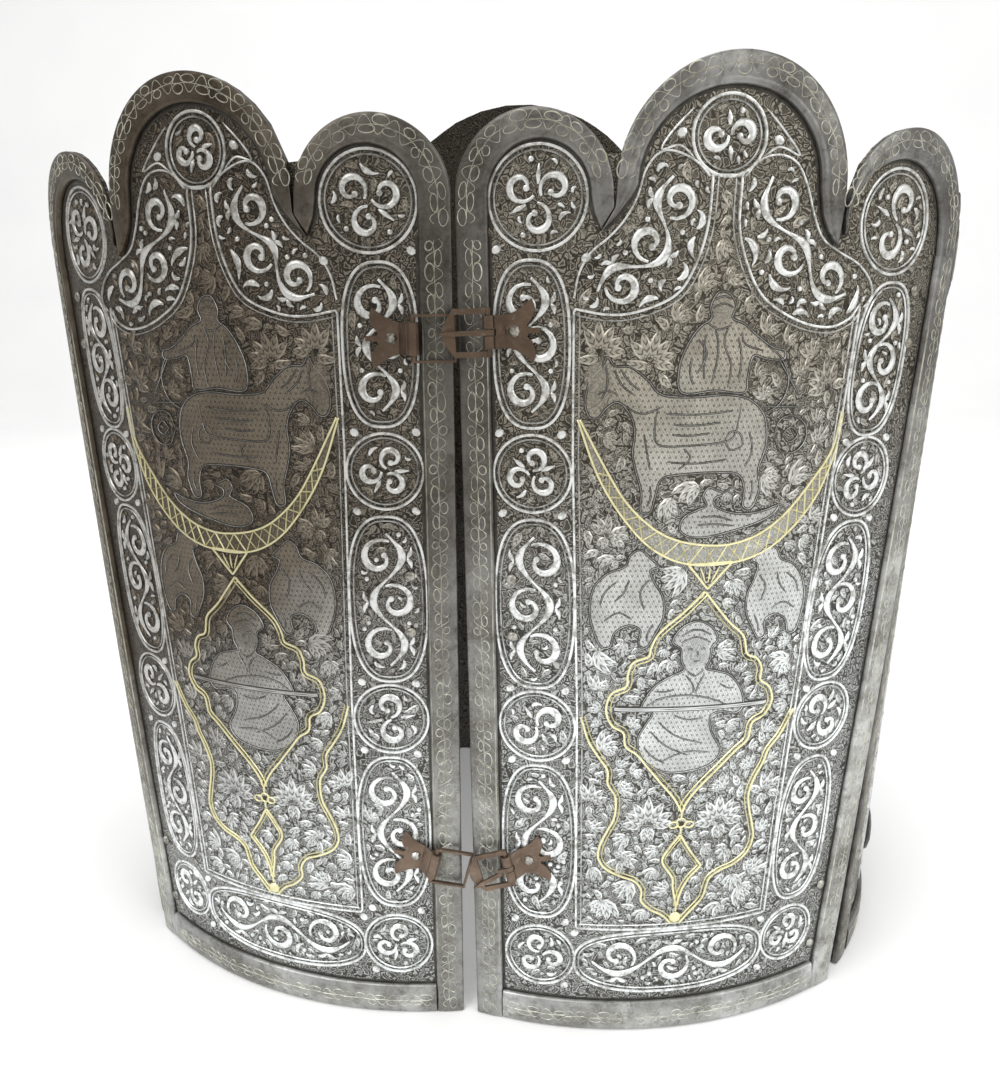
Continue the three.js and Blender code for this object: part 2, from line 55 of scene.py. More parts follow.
MM = 0.001
TINY = 1e-9
BEVEL_ANGLE = 35

# Plan of each plate's outer face: an arc that turns left from its start, seen from above.
FRONT_PLAN = {"x": 3.4, "y": -109.5, "heading": -12.8, "radius": 182.5, "length": 182.5}
SIDE_PLAN_LOW = {"x": 164, "y": -64.5, "heading": 53.1, "radius": 130.8, "length": 154}
SIDE_PLAN_HIGH = {"x": 184, "y": -40.5, "heading": 61.3, "radius": 122.4, "length": 126.5}
BACK_PLAN = {"x": 163.5, "y": 89.63, "heading": 160.57, "radius": 491.4, "length": 333.3}
LEAN_HEIGHT = 340.0

FRONT_FOOT = 165.0
FRONT_INNER_TOP = (-2.6, 325.0)
FRONT_OUTER_TOP = (196.0, 316.0)
SIDE_LENGTH = 154.0
SIDE_HEIGHT = 340.0
ARM_HOLLOW = 38.0
BACK_HALF = 166.65
BACK_TOP = (176.0, 306.0)
BOTTOM_RIM = 13.5
RIM_SEAT = 0.3
EDGE_GAP = 0.02
JOINT = 0.15
BACK_RIM_DROP = 0.12


# Panels


def plan_point(plan, distance):
    """Points and directions on a plan arc, at distances along it."""
    start = math.radians(plan["heading"])
    here = start + distance / plan["radius"]
    x = plan["x"] + plan["radius"] * (np.sin(here) - math.sin(start))
    y = plan["y"] + plan["radius"] * (math.cos(start) - np.cos(here))
    return x, y, np.cos(here), np.sin(here)


class Panel:
    """An outer face ruled between a low and a high plan arc; mirror is -1 on the viewer's left."""

    def __init__(self, low, high, length, mirror=1, start=0.0):
        self.low, self.high, self.length, self.mirror, self.start = low, high, length, mirror, start

    def frame(self, s, z):
        """Points, outward normals and directions along the panel, in millimetres."""
        s, z = np.asarray(s, float), np.asarray(z, float)
        share = (s - self.start) / self.length
        ax, ay, atx, aty = plan_point(self.low, share * self.low["length"])
        bx, by, btx, bty = plan_point(self.high, share * self.high["length"])
        t = z / LEAN_HEIGHT
        along = np.stack([(atx + (btx - atx) * t) * self.mirror, aty + (bty - aty) * t, t * 0], -1)
        along /= np.linalg.norm(along, axis=-1, keepdims=True)
        out = np.stack([along[..., 1], -along[..., 0], t * 0], -1) * self.mirror
        point = np.stack([(ax + (bx - ax) * t) * self.mirror, ay + (by - ay) * t, z + t * 0], -1)
        return point, out, along

    def wound(self, faces):
        """Faces turned over where the panel is mirrored."""
        return faces if self.mirror > 0 else [f[::-1] for f in faces]

    def at(self, s, z, h):
        """Places on the panel, in metres."""
        point, out, _ = self.frame(s, z)
        return (point + out * np.asarray(h, float)[..., None]) * MM


PANELS = {
    "front_right": Panel(FRONT_PLAN, FRONT_PLAN, FRONT_PLAN["length"], 1),
    "front_left": Panel(FRONT_PLAN, FRONT_PLAN, FRONT_PLAN["length"], -1),
    "side_right": Panel(SIDE_PLAN_LOW, SIDE_PLAN_HIGH, SIDE_LENGTH, 1),
    "side_left": Panel(SIDE_PLAN_LOW, SIDE_PLAN_HIGH, SIDE_LENGTH, -1),
    "back": Panel(BACK_PLAN, BACK_PLAN, BACK_PLAN["length"], 1, -BACK_HALF),
}


def lerp(a, b, t):
    return a + (b - a) * t


def front_inner(z):
    return lerp(0.0, FRONT_INNER_TOP[0], z / FRONT_INNER_TOP[1])


def front_outer(z):
    return lerp(FRONT_FOOT, FRONT_OUTER_TOP[0], z / FRONT_OUTER_TOP[1])


def back_edge(z):
    return lerp(BACK_HALF, BACK_TOP[0], z / BACK_TOP[1])


def arm_line(s):
    return SIDE_HEIGHT - ARM_HOLLOW * np.sin(np.pi * np.asarray(s) / SIDE_LENGTH)


# Curves in the flat


def level(start, end, z):
    """A level line."""
    return [(start, z), (end, z)]


def arch(start, end, spring, rise, count=48):
    """A half ellipse that rises from its spring line, from start to end."""
    turn = np.linspace(0, np.pi, count)
    middle, half = (start + end) / 2, (end - start) / 2
    return np.stack([middle - half * np.cos(turn), spring + rise * np.sin(turn)], 1)


def resample(path, step=None, count=None):
    """The same path with even steps, or with a set number of points."""
    path = np.asarray(path, float)
    run = run_along(path)
    if count is None:
        count = max(2, int(round(run[-1] / step)) + 1)
    marks = np.linspace(0, run[-1], count)
    return np.stack([np.interp(marks, run, path[:, 0]), np.interp(marks, run, path[:, 1])], 1)


def smooth(points, closed=False, steps=8):
    """A Catmull-Rom curve through the points."""
    p = np.asarray(points, float)
    if closed:
        p = np.vstack([p[-1], p, p[0], p[1]])
    else:
        p = np.vstack([2 * p[0] - p[1], p, 2 * p[-1] - p[-2]])
    t = np.linspace(0, 1, steps, endpoint=False)[:, None]
    rows = []
    for a, b, c, d in zip(p[:-3], p[1:-2], p[2:-1], p[3:]):
        square, cube = 2 * a - 5 * b + 4 * c - d, 3 * b - a - 3 * c + d
        rows.append(0.5 * (2 * b + (c - a) * t + square * t**2 + cube * t**3))
    curve = np.vstack(rows)
    return np.vstack([curve, curve[0] if closed else p[-2]])


def turned_left(along):
    """Left-hand normals of directions."""
    along = along / np.maximum(np.linalg.norm(along, axis=1, keepdims=True), TINY)
    return np.stack([-along[:, 1], along[:, 0]], 1)


def normals(path):
    return turned_left(np.gradient(path, axis=0))


def heading(angle):
    """The unit vector of a direction."""
    return np.array([math.cos(angle), math.sin(angle)])


def run_along(path):
    """The distance along a path at each of its points."""
    return np.concatenate([[0], np.cumsum(np.linalg.norm(np.diff(path, axis=0), axis=1))])


def oval(centre, half_width, half_height, lean=0.0, power=2.6, count=72):
    """A rounded cartouche outline; lean is its sideways drift for each unit of height."""
    turn = np.linspace(0, 2 * np.pi, count + 1)
    c, s = np.cos(turn), np.sin(turn)
    x = np.sign(c) * np.abs(c) ** (2 / power) * half_width
    y = np.sign(s) * np.abs(s) ** (2 / power) * half_height
    return np.stack([centre[0] + x + lean * y, centre[1] + y], 1)


def circle(centre, radius, count=48):
    return oval(centre, radius, radius, power=2.0, count=count)


def spiral(centre, start_angle, radius, turns, hand=1, shrink=0.72, count=21):
    """A curl that winds in from a radius."""
    t = np.linspace(0, 1, count)
    angle = start_angle + hand * turns * 2 * np.pi * t
    r = radius * (1 - shrink * t)
    return np.stack([centre[0] + r * np.cos(angle), centre[1] + r * np.sin(angle)], 1)


# Low relief

RIDGE = ((-1, 0), (0, 1), (1, 0))
BEAD = ((-1, 0), (-0.72, 0.72), (0, 1), (0.72, 0.72), (1, 0))
FLAT = ((-1, 0), (-0.82, 1), (0.82, 1), (1, 0))
CREASE = ((-1, 0), (-0.55, 1), (0, 0.42), (0.55, 1), (1, 0))
SINK = -0.12

# A leaf: marks along it, its width at each, and the marks and widths that probe its place.
LEAF_MARKS = np.array([0, 0.2, 0.45, 0.76, 1.0])
LEAF_SHAPE = np.array([0.1, 0.82, 1.0, 0.6, 0.03])
PROBE_MARKS = np.array([0.12, 0.35, 0.6, 0.85, 1.05])
PROBE_SHAPE = np.array([0.7, 1.0, 0.95, 0.6, 0.1])


def leaf_line(marks, root, angle, length, bend):
    """The middle line of a leaf at marks along it."""
    turn = angle + bend * (marks - 0.3)
    step = np.diff(marks, prepend=0) * length
    return np.array(root) + np.stack([np.cumsum(step * np.cos(turn)), np.cumsum(step * np.sin(turn))], 1)


def bow(root, turn, length):
    """A line of even steps from a root, along the directions in turn."""
    step = length / (len(turn) - 1)
    return np.array(root) + np.stack([np.cumsum(np.cos(turn)) * step, np.cumsum(np.sin(turn)) * step], 1)


class Relief:
    """Closed low bodies laid on a panel and joined into one mesh."""

    def __init__(self, panel):
        self.panel = panel
        self.stations, self.faces, self.marks, self.count = [], [], [], 0

    def loft(self, s, z, h, mark=None, closed=False, ring=True):
        """Adds a body whose sections are the rows of s, z and h; a section without ring stays open below."""
        rows, cols = s.shape
        index = np.arange(rows * cols).reshape(rows, cols) + self.count
        here, there = (index, np.roll(index, -1, axis=1)) if ring else (index[:, :-1], index[:, 1:])
        if closed:
            quads = np.stack([here, np.roll(here, -1, axis=0), np.roll(there, -1, axis=0), there], -1)
        else:
            quads = np.stack([here[:-1], here[1:], there[1:], there[:-1]], -1)
            if ring:
                self.faces.append(index[0].tolist())
                self.faces.append(index[-1][::-1].tolist())
        self.faces.extend(quads.reshape(-1, 4).tolist())
        self.stations.append(np.stack([s.ravel(), z.ravel(), h.ravel()], 1))
        if mark is None:
            mark = np.zeros((rows, cols, 2))
        self.marks.append(mark.reshape(-1, 2))
        self.count += rows * cols

    def stroke(self, path, width, height, section=BEAD, seat=0.0, closed=False, ends=0.0):
        """A raised line along a path; width may be one value or one for each point."""
        path = np.asarray(path, float)
        if closed:
            path = path[:-1]
            side = turned_left(np.roll(path, -1, axis=0) - np.roll(path, 1, axis=0))
        else:
            side = normals(path)
        half = np.broadcast_to(np.asarray(width, float) / 2, len(path)).copy()
        if ends and not closed:
            t = np.linspace(0, 1, len(path))
            half *= np.clip(np.minimum(t, 1 - t) / ends, 0.08, 1) ** 0.6
        across = np.array([a for a, _ in section])
        lift = np.array([b for _, b in section])
        shrink = half / max(half.max(), TINY)
        s = path[:, :1] + side[:, :1] * across * half[:, None]
        z = path[:, 1:] + side[:, 1:] * across * half[:, None]
        rise = np.where(lift > 0, lift, 0) * height
        h = seat + rise[None, :] * (0.45 + 0.55 * shrink[:, None]) + np.where(lift > 0, 0, SINK)
        if not closed:
            h[[0, -1]] = SINK
        t = np.linspace(0, 1, len(path))[:, None]
        mark = np.stack([t + across * 0, across + t * 0], -1)
        self.loft(s, z, h, mark, closed, False)

    def leaf(self, root, angle, length, width, bend, height, seat):
        """A pointed leaf with a creased middle."""
        path = leaf_line(LEAF_MARKS, root, angle, length, bend)
        self.stroke(path, LEAF_SHAPE * width, height, CREASE, seat)

    def dot(self, centre, radius, height, sides=8, stretch=1.0, tilt=0.0):
        """A low round or long stud."""
        ring = np.linspace(0, 2 * np.pi, sides, endpoint=False)
        levels = np.array([[1.0, SINK], [0.84, 0.7 * height], [0.34, height]])
        x = levels[:, :1] * np.cos(ring) * radius * stretch
        y = levels[:, :1] * np.sin(ring) * radius
        s = centre[0] + x * math.cos(tilt) - y * math.sin(tilt)
        z = centre[1] + x * math.sin(tilt) + y * math.cos(tilt)
        self.loft(s[:, ::-1], z[:, ::-1], levels[:, 1:] + x * 0)

    def build(self, name, material, slot, smooth_angle=50.0, nodes=()):
        """Makes the mesh with its material and rides it on the body."""
        flat = np.vstack(self.stations)
        points = self.panel.at(flat[:, 0], flat[:, 1], flat[:, 2])
        piece = make_mesh(name, points, self.panel.wound(self.faces), material, smooth_angle)
        marks = np.vstack(self.marks)
        places = np.column_stack([marks, marks[:, :1] * 0])
        add_attribute(piece, "leaf_place", "FLOAT_VECTOR", "vector", places)
        return seated(piece, slot, *nodes)


def make_mesh(name, points, faces, material, smooth_angle=40.0):
    mesh = bpy.data.meshes.new(name)
    mesh.from_pydata(np.asarray(points).tolist(), [], faces)
    mesh.update()
    mesh.polygons.foreach_set("use_smooth", [True] * len(mesh.polygons))
    mesh.set_sharp_from_angle(angle=math.radians(smooth_angle))
    piece = bpy.data.objects.new(name, mesh)
    bpy.context.scene.collection.objects.link(piece)
    mesh.materials.append(bpy.data.materials[material])
    return piece


def add_attribute(piece, name, kind, field, values):
    layer = piece.data.attributes.new(name, kind, "POINT")
    layer.data.foreach_set(field, values.ravel().astype(np.float32))


def seated(piece, slot, *nodes):
    """Rides a piece on the body and hides the solids that it stands for; its finish slot is not used."""
    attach(piece, "root")
    if nodes:
        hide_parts(*nodes)
    return piece


# The drawing board of one plate: which places are taken, and how the ground is raised

CELL = 0.5


class Board:
    """A flat grid over a plate that keeps free places, relief and tone."""

    def __init__(self, low, high):
        self.low = np.array(low, float)
        size = ((np.array(high) - self.low) / CELL).astype(int) + 1
        self.free = np.zeros(size, bool)
        self.rise = np.zeros(size)
        self.tone = np.zeros(size)

    def cells(self, points):
        index = ((np.asarray(points) - self.low) / CELL).astype(int)
        return self.held(index[:, 0], index[:, 1])

    def held(self, i, j):
        """Cells, kept within the grid."""
        return np.clip(i, 0, self.free.shape[0] - 1), np.clip(j, 0, self.free.shape[1] - 1)

    def inside(self, outline):
        """The block of cells round an outline, and which of them lie inside it."""
        outline = np.asarray(outline, float)
        low = np.maximum(((outline.min(0) - self.low) / CELL).astype(int) - 1, 0)
        high = np.minimum(((outline.max(0) - self.low) / CELL).astype(int) + 2, self.free.shape)
        xs = self.low[0] + (np.arange(low[0], high[0]) + 0.5) * CELL
        ys = self.low[1] + (np.arange(low[1], high[1]) + 0.5) * CELL
        hit = np.zeros((len(xs), len(ys)), bool)
        for (x0, y0), (x1, y1) in zip(outline, np.roll(outline, -1, axis=0)):
            if y0 == y1:
                continue
            span = (ys >= min(y0, y1)) & (ys < max(y0, y1))
            if span.any():
                cross = x0 + (ys[span] - y0) * (x1 - x0) / (y1 - y0)
                hit[:, span] ^= xs[:, None] < cross[None, :]
        return (slice(low[0], high[0]), slice(low[1], high[1])), hit

    def open(self, outline):
        block, hit = self.inside(outline)
        self.free[block] |= hit

    def close(self, outline):
        block, hit = self.inside(outline)
        self.free[block] &= ~hit

    def shape(self, outline, rise, tone):
        """Sets the relief and the tone inside an outline."""
        block, hit = self.inside(outline)
        self.rise[block][hit] = rise
        self.tone[block][hit] = tone

    def keep_clear(self, path, reach):
        """Takes the cells along a path."""
        near = int(math.ceil(reach / CELL))
        grid = np.mgrid[-near : near + 1, -near : near + 1].reshape(2, -1)
        grid = grid[:, (grid**2).sum(0) <= (reach / CELL) ** 2]
        ci, cj = self.cells(path)
        self.free[self.held((ci[:, None] + grid[0]).ravel(), (cj[:, None] + grid[1]).ravel())] = False

    def is_free(self, points, share=1.0):
        return self.free[self.cells(points)].mean() >= share

    def spots(self, rng, count, outline=None):
        """Random free places, inside an outline if one is given."""
        allowed = self.free
        if outline is not None:
            block, hit = self.inside(outline)
            allowed = np.zeros_like(self.free)
            allowed[block] = self.free[block] & hit
        cells = np.argwhere(allowed)
        if not len(cells):
            return np.zeros((0, 2))
        chosen = cells[rng.integers(0, len(cells), count)]
        return self.low + (chosen + rng.random((count, 2))) * CELL


def blur(values, passes):
    for _ in range(passes):
        p = np.pad(values, 1, mode="edge")
        values = (p[:-2, 1:-1] + p[2:, 1:-1] + p[1:-1, :-2] + p[1:-1, 2:] + p[1:-1, 1:-1]) / 5
    return values


def sample(values, board, s, z):
    """Values of a board at places, read between its cells."""
    x = np.clip((s - board.low[0]) / CELL - 0.5, 0, values.shape[0] - 1.001)
    y = np.clip((z - board.low[1]) / CELL - 0.5, 0, values.shape[1] - 1.001)
    i, j = x.astype(int), y.astype(int)
    u, v = x - i, y - j
    low = values[i, j] * (1 - u) + values[i + 1, j] * u
    high = values[i, j + 1] * (1 - u) + values[i + 1, j + 1] * u
    return low * (1 - v) + high * v


# Finishes


class Finish:
    """A node material under construction."""

    def __init__(self, name):
        self.material = bpy.data.materials.new(name)
        self.material.use_nodes = True
        self.tree = self.material.node_tree
        self.tree.nodes.clear()
        output = self.tree.nodes.new("ShaderNodeOutputMaterial")
        self.shader = self.tree.nodes.new("ShaderNodeBsdfPrincipled")
        self.tree.links.new(self.shader.outputs["BSDF"], output.inputs["Surface"])
        self.place = self.tree.nodes.new("ShaderNodeTexCoord").outputs["Object"]

    def node(self, kind, inputs=None, **settings):
        node = self.tree.nodes.new("ShaderNode" + kind)
        for key, value in settings.items():
            setattr(node, key, value)
        for key, value in (inputs or {}).items():
            self.feed(node.inputs[key], value)
        return node

    def noise(self, scale, detail, rough=0.6):
        inputs = {"Vector": self.place, "Scale": scale, "Detail": detail, "Roughness": rough}
        return self.node("TexNoise", inputs).outputs["Fac"]

    def cells(self, scale, place=None, feature="F1"):
        inputs = {"Vector": place or self.place, "Scale": scale}
        return self.node("TexVoronoi", inputs, feature=feature).outputs["Distance"]

    def range(self, value, low, high, to_low=0.0, to_high=1.0):
        inputs = {"Value": value, "From Min": low, "From Max": high, "To Min": to_low, "To Max": to_high}
        return self.node("MapRange", inputs).outputs["Result"]

    def math(self, kind, a, b=0.0):
        return self.node("Math", {0: a, 1: b}, operation=kind).outputs["Value"]

    def times(self, a, b):
        return self.math("MULTIPLY", a, b)

    def plus(self, a, b):
        return self.math("ADD", a, b)

    def minus(self, a, b):
        return self.math("SUBTRACT", a, b)

    def vector(self, kind, a, b):
        return self.node("VectorMath", {0: a, 1: b}, operation=kind).outputs[0]

    def feed(self, socket, value):
        """Links a socket to another, or gives it a plain value or colour."""
        if isinstance(value, bpy.types.NodeSocket):
            self.tree.links.new(value, socket)
        elif socket.type == "RGBA" and len(value) == 3:
            socket.default_value = (*value, 1.0)
        else:
            socket.default_value = value

    def mix(self, share, a, b, blend="MIX"):
        node = self.node("Mix", data_type="RGBA", blend_type=blend)
        for key, value in (("Factor", share), (6, a), (7, b)):
            self.feed(node.inputs[key], value)
        return node.outputs[2]

    def over(self, colour, mask, share, other):
        """A colour with another laid over it where a mask is high."""
        return self.mix(self.times(mask, share), colour, other)

    def worn(self, colour, noise, low, high, share, other):
        """A colour with another laid over it in the patches of a noise."""
        return self.over(colour, self.range(self.noise(*noise), low, high), share, other)

    def attribute(self, name, output="Fac"):
        return self.node("Attribute", attribute_name=name).outputs[output]

    def parts(self, vector):
        return self.node("SeparateXYZ", {"Vector": vector}).outputs

    def end(self, colour, metallic, rough, height, strength, distance=0.0002):
        """Sets the colour, a roughness that is plain or wanders between two values, and the grain."""
        if isinstance(rough, tuple):
            *noise, low, high = rough
            rough = self.range(self.noise(*noise), 0.3, 0.7, low, high)
        self.set("Base Color", colour)
        self.set("Metallic", metallic)
        self.set("Roughness", rough)
        grain = self.node("Bump", {"Height": height, "Strength": strength, "Distance": distance})
        self.set("Normal", grain.outputs["Normal"])

    def set(self, key, value):
        self.feed(self.shader.inputs[key], value)


def chosen(name):
    """A colour of the settings, as the shader wants it."""
    shown = getattr(bpy.context.scene.cuirass_colours, name)
    return tuple(c / 12.92 if c <= 0.04045 else ((c + 0.055) / 1.055) ** 2.4 for c in shown)


def mottled(finish, light, dark, scale=34, detail=6, low=0.35, high=0.68):
    """Two tones in soft patches."""
    return finish.mix(finish.range(finish.noise(scale, detail), low, high), dark, light)


def painted_shade(finish, colour, strength=1.0, right_top_shade=(0.5, 0.46, 0.385)):
    """Painted shade: darkens and browns a colour upwards, most on the viewer's left, and paints shade on what
    stands back.
    """
    x, y, z = finish.parts(finish.place)[:3]
    # painted shade: the colour grows darker upwards, starting lower on the viewer's left
    level = finish.plus(z, finish.times(finish.noise(13, 5), 0.1))
    middle = finish.range(x, -0.17, 0.08, 0.135, 0.275)
    share = finish.range(finish.minus(level, middle), -0.055, 0.055)
    # colours of the painted shade at the top: dark brown on the viewer's left, greyer on the right
    top = finish.mix(finish.range(x, -0.08, 0.08), (0.18, 0.146, 0.108), right_top_shade)
    shade_tint = finish.mix(finish.times(share, strength), (0.98, 1.0, 1.0), top)
    # painted shade over the side plates, which stand back from the front plates
    depth = finish.range(finish.minus(y, finish.times(z, 0.07)), -0.0725, -0.066, 0.0, strength)
    shade = finish.mix(depth, (1.0, 1.0, 1.0), (0.4, 0.385, 0.36))
    return finish.mix(1.0, finish.mix(1.0, colour, shade_tint, "MULTIPLY"), shade, "MULTIPLY")


def make_plate_steel():
    """Chased plate: dark pitted ground, lighter where the metal stands proud."""
    finish = Finish("chased_steel")
    flat = finish.attribute("flat_place", "Vector")
    s, z = finish.parts(flat)[:2]
    tone = finish.attribute("tone")
    raised = finish.range(tone, 0.6, 0.8)
    drift = finish.node("TexNoise", {"Vector": flat, "Scale": 0.16, "Detail": 3.0}).outputs["Color"]
    drift = finish.vector("ADD", flat, finish.vector("MULTIPLY", drift, (7.0, 7.0, 0.0)))
    leaflets = finish.cells(0.4, drift, "DISTANCE_TO_EDGE")
    lines = finish.times(finish.range(leaflets, 0.07, 0.11), finish.range(leaflets, 0.22, 0.16))
    ground = mottled(finish, chosen("ground"), (0.075, 0.07, 0.06))
    ground = finish.over(ground, lines, 0.7, (0.71, 0.715, 0.705))
    ground = finish.mix(finish.range(leaflets, 0.02, 0.07, 0.85, 0.0), ground, (0.05, 0.046, 0.038))
    row = finish.times(z, 0.5)
    phase = finish.times(finish.math("FLOOR", row), 2.6)
    dash = finish.math("SINE", finish.plus(finish.times(s, 3.1), phase))
    cut = finish.times(finish.range(dash, 0.35, 0.8), finish.range(finish.math("FRACT", row), 0.45, 0.3))
    cut = finish.times(cut, raised)
    slant = finish.plus(finish.times(s, 7.2), finish.times(z, 3.6))
    slant = finish.math("SINE", finish.plus(slant, finish.times(finish.noise(42, 3), 22.0)))
    hair = finish.times(finish.range(slant, 0.0, 0.75), raised)
    proud = mottled(finish, (0.8, 0.81, 0.8), (0.52, 0.52, 0.51), 55)
    proud = finish.over(proud, hair, 0.3, (0.13, 0.125, 0.11))
    colour = finish.mix(finish.range(tone, 0.1, 0.9), ground, proud)
    colour = finish.over(colour, cut, 0.62, (0.1, 0.095, 0.085))
    pits = finish.cells(760)
    colour = finish.mix(finish.range(pits, 0.0, 0.32, 0.45, 0.0), colour, (0.04, 0.037, 0.032))
    grain = finish.plus(finish.noise(1400, 3), finish.times(pits, 0.8))
    grain = finish.plus(finish.minus(grain, finish.times(cut, 1.2)), finish.times(lines, 0.6))
    # painted shade over the plate colour: darker and browner upwards, and on the side plates
    finish.end(painted_shade(finish, colour), 0.75, (160, 5, 0.3, 0.58), grain, 0.6, 0.0004)


def make_leaf_steel():
    """Raised foliage: worn steel with hatched leaves."""
    finish = Finish("leaf_steel")
    colour = mottled(finish, chosen("leaf"), (0.5, 0.5, 0.49), 60)
    t, across = finish.parts(finish.attribute("leaf_place", "Vector"))[:2]
    across = finish.math("ABSOLUTE", across)
    rib = finish.minus(finish.times(t, 26.0), finish.times(across, 7.0))
    hatch = finish.times(finish.range(finish.math("SINE", rib), 0.1, 0.8), finish.range(across, 0.66, 0.5))
    border = finish.times(finish.range(across, 0.5, 0.6), finish.range(across, 0.9, 0.8))
    colour = finish.over(colour, hatch, 0.8, (0.1, 0.094, 0.082))
    colour = finish.over(colour, border, 0.8, (0.95, 0.96, 0.96))
    colour = finish.mix(finish.range(across, 0.84, 0.97, 0.0, 0.8), colour, (0.06, 0.055, 0.047))
    grain = finish.minus(finish.noise(1500, 2), hatch)
    # painted shade over the foliage colour: darker and browner upwards, and on the side plates
    finish.end(painted_shade(finish, colour), 0.75, (210, 4, 0.26, 0.46), grain, 0.45)


def make_engraving_and_painted_shadow():
    """Dark fill of the chased lines, and of the painted shadow along the front rims' inner edges."""
    finish = Finish("engraved_line")
    colour = mottled(finish, (0.1, 0.095, 0.082), (0.035, 0.032, 0.027), 300)
    # painted shade over the line colour: darker and browner upwards, and on the side plates
    finish.end(painted_shade(finish, colour, 0.8), 0.55, (260, 4, 0.4, 0.62), finish.noise(1500, 3), 0.4)


def make_rim_steel():
    """Rims: satin steel, scratched and darkened in patches, with painted shade beside the front gap."""
    finish = Finish("rim_finish")
    colour = mottled(finish, chosen("rim"), (0.21, 0.205, 0.195))
    x, y = finish.parts(finish.place)[:2]
    # painted shade on the rims that line the gap between the front plates
    near = finish.times(finish.range(finish.math("ABSOLUTE", x), 0.018, 0.012), finish.range(y, -0.08, -0.1))
    colour = finish.over(colour, near, 0.5, (0.11, 0.104, 0.094))
    colour = finish.worn(colour, (75, 7, 0.7), 0.42, 0.66, 0.5, (0.14, 0.122, 0.096))
    colour = finish.worn(colour, (190, 8, 0.75), 0.5, 0.62, 0.55, (0.075, 0.066, 0.052))
    colour = finish.worn(colour, (900, 8, 0.75), 0.45, 0.66, 0.4, (0.48, 0.48, 0.45))
    # painted shade over the rim colour: darker upwards, and on the side plates
    colour = painted_shade(finish, colour, 1.0, (0.45, 0.45, 0.44))
    finish.end(colour, 0.88, (120, 6, 0.28, 0.5), finish.noise(700, 8, 0.7), 0.35, 0.0003)


def make_silver():
    """Silver overlay, rubbed through to steel in places, with painted shade that darkens it upwards."""
    finish = Finish("silver_inlay")
    z = finish.parts(finish.place)[2]
    # painted shade: the silver is mixed darker towards the top
    painted_upward_shade = finish.range(finish.plus(z, finish.times(finish.noise(14, 3), 0.2)), 0.24, 0.46)
    worn = finish.plus(finish.range(finish.noise(230, 6, 0.75), 0.48, 0.62), finish.times(painted_upward_shade, 0.3))
    colour = finish.mix(finish.range(worn, 0.0, 1.0, 0.0, 0.85), chosen("silver"), (0.3, 0.29, 0.26))
    # painted shade over the silver: darker and browner upwards, and on the side plates
    colour = painted_shade(finish, colour, 0.62, (0.72, 0.71, 0.68))
    finish.end(colour, 0.6, (420, 4, 0.25, 0.45), finish.noise(1100, 4), 0.2)


def make_rim_silver():
    """The thin, dull overlay of the rims."""
    finish = Finish("rim_silver")
    worn = finish.range(finish.noise(150, 6, 0.75), 0.42, 0.62, 0.15, 0.85)
    colour = finish.mix(worn, chosen("rim_silver"), (0.2, 0.19, 0.165))
    # painted shade over the rim silver: darker and browner upwards, and on the side plates
    finish.end(painted_shade(finish, colour, 0.5), 0.6, (420, 4, 0.3, 0.5), finish.noise(1100, 4), 0.2)


def make_gold():
    """Pale gold overlay."""
    finish = Finish("gold_inlay")
    colour = finish.worn(chosen("gold"), (160, 6, 0.7), 0.52, 0.7, 0.6, (0.3, 0.26, 0.12))
    # painted shade over the gold: darker and browner upwards, and on the side plates
    finish.end(painted_shade(finish, colour, 0.5), 0.6, (420, 4, 0.28, 0.46), finish.noise(1100, 4), 0.2)


def make_buckle_steel():
    """Buckles: brown patina with bright rubbed spots."""
    finish = Finish("buckle_finish")
    colour = mottled(finish, chosen("buckle"), (0.12, 0.08, 0.06), 95, 6, 0.32)
    colour = finish.worn(colour, (420, 7, 0.75), 0.55, 0.72, 0.6, (0.34, 0.3, 0.26))
    grain = finish.noise(1300, 6, 0.7)
    # painted shade over the buckle colour: darker and browner upwards, and on the side plates
    finish.end(painted_shade(finish, colour, 0.75), 0.8, (260, 5, 0.3, 0.55), grain, 0.5, 0.0003)


def make_rivet_steel():
    """Rivet heads, rubbed bright."""
    finish = Finish("rivet_finish")
    colour = mottled(finish, chosen("rivet"), (0.16, 0.145, 0.125), 500, 5, 0.35, 0.65)
    # painted shade over the rivet colour: darker and browner upwards, and on the side plates
    finish.end(painted_shade(finish, colour, 0.6), 0.85, (700, 4, 0.25, 0.5), finish.noise(1600, 5), 0.35)


def make_boss_steel():
    """The dark boss."""
    finish = Finish("boss_finish")
    colour = mottled(finish, (0.09, 0.085, 0.08), (0.02, 0.019, 0.018), 240, 6, 0.35, 0.65)
    finish.end(colour, 0.75, (330, 4, 0.3, 0.55), finish.noise(1200, 5), 0.35, 0.0003)


def make_leather():
    """Old strap leather, creased and dry."""
    finish = Finish("old_leather")
    colour = mottled(finish, chosen("leather"), (0.018, 0.011, 0.007), 110, 7, 0.32)
    creases = finish.range(finish.cells(620), 0.0, 0.5)
    colour = finish.mix(finish.range(creases, 0.0, 0.4, 0.45, 0.0), colour, (0.01, 0.007, 0.005))
    finish.end(colour, 0.0, (300, 5, 0.5, 0.8), finish.plus(creases, finish.noise(900, 6)), 0.6, 0.0004)


def make_thread():
    """Waxed linen thread of the strap seams."""
    finish = Finish("waxed_thread")
    colour = mottled(finish, (0.4, 0.31, 0.19), (0.2, 0.14, 0.08), 800)
    finish.end(colour, 0.0, 0.65, finish.noise(3000, 3), 0.5)


# Ornament


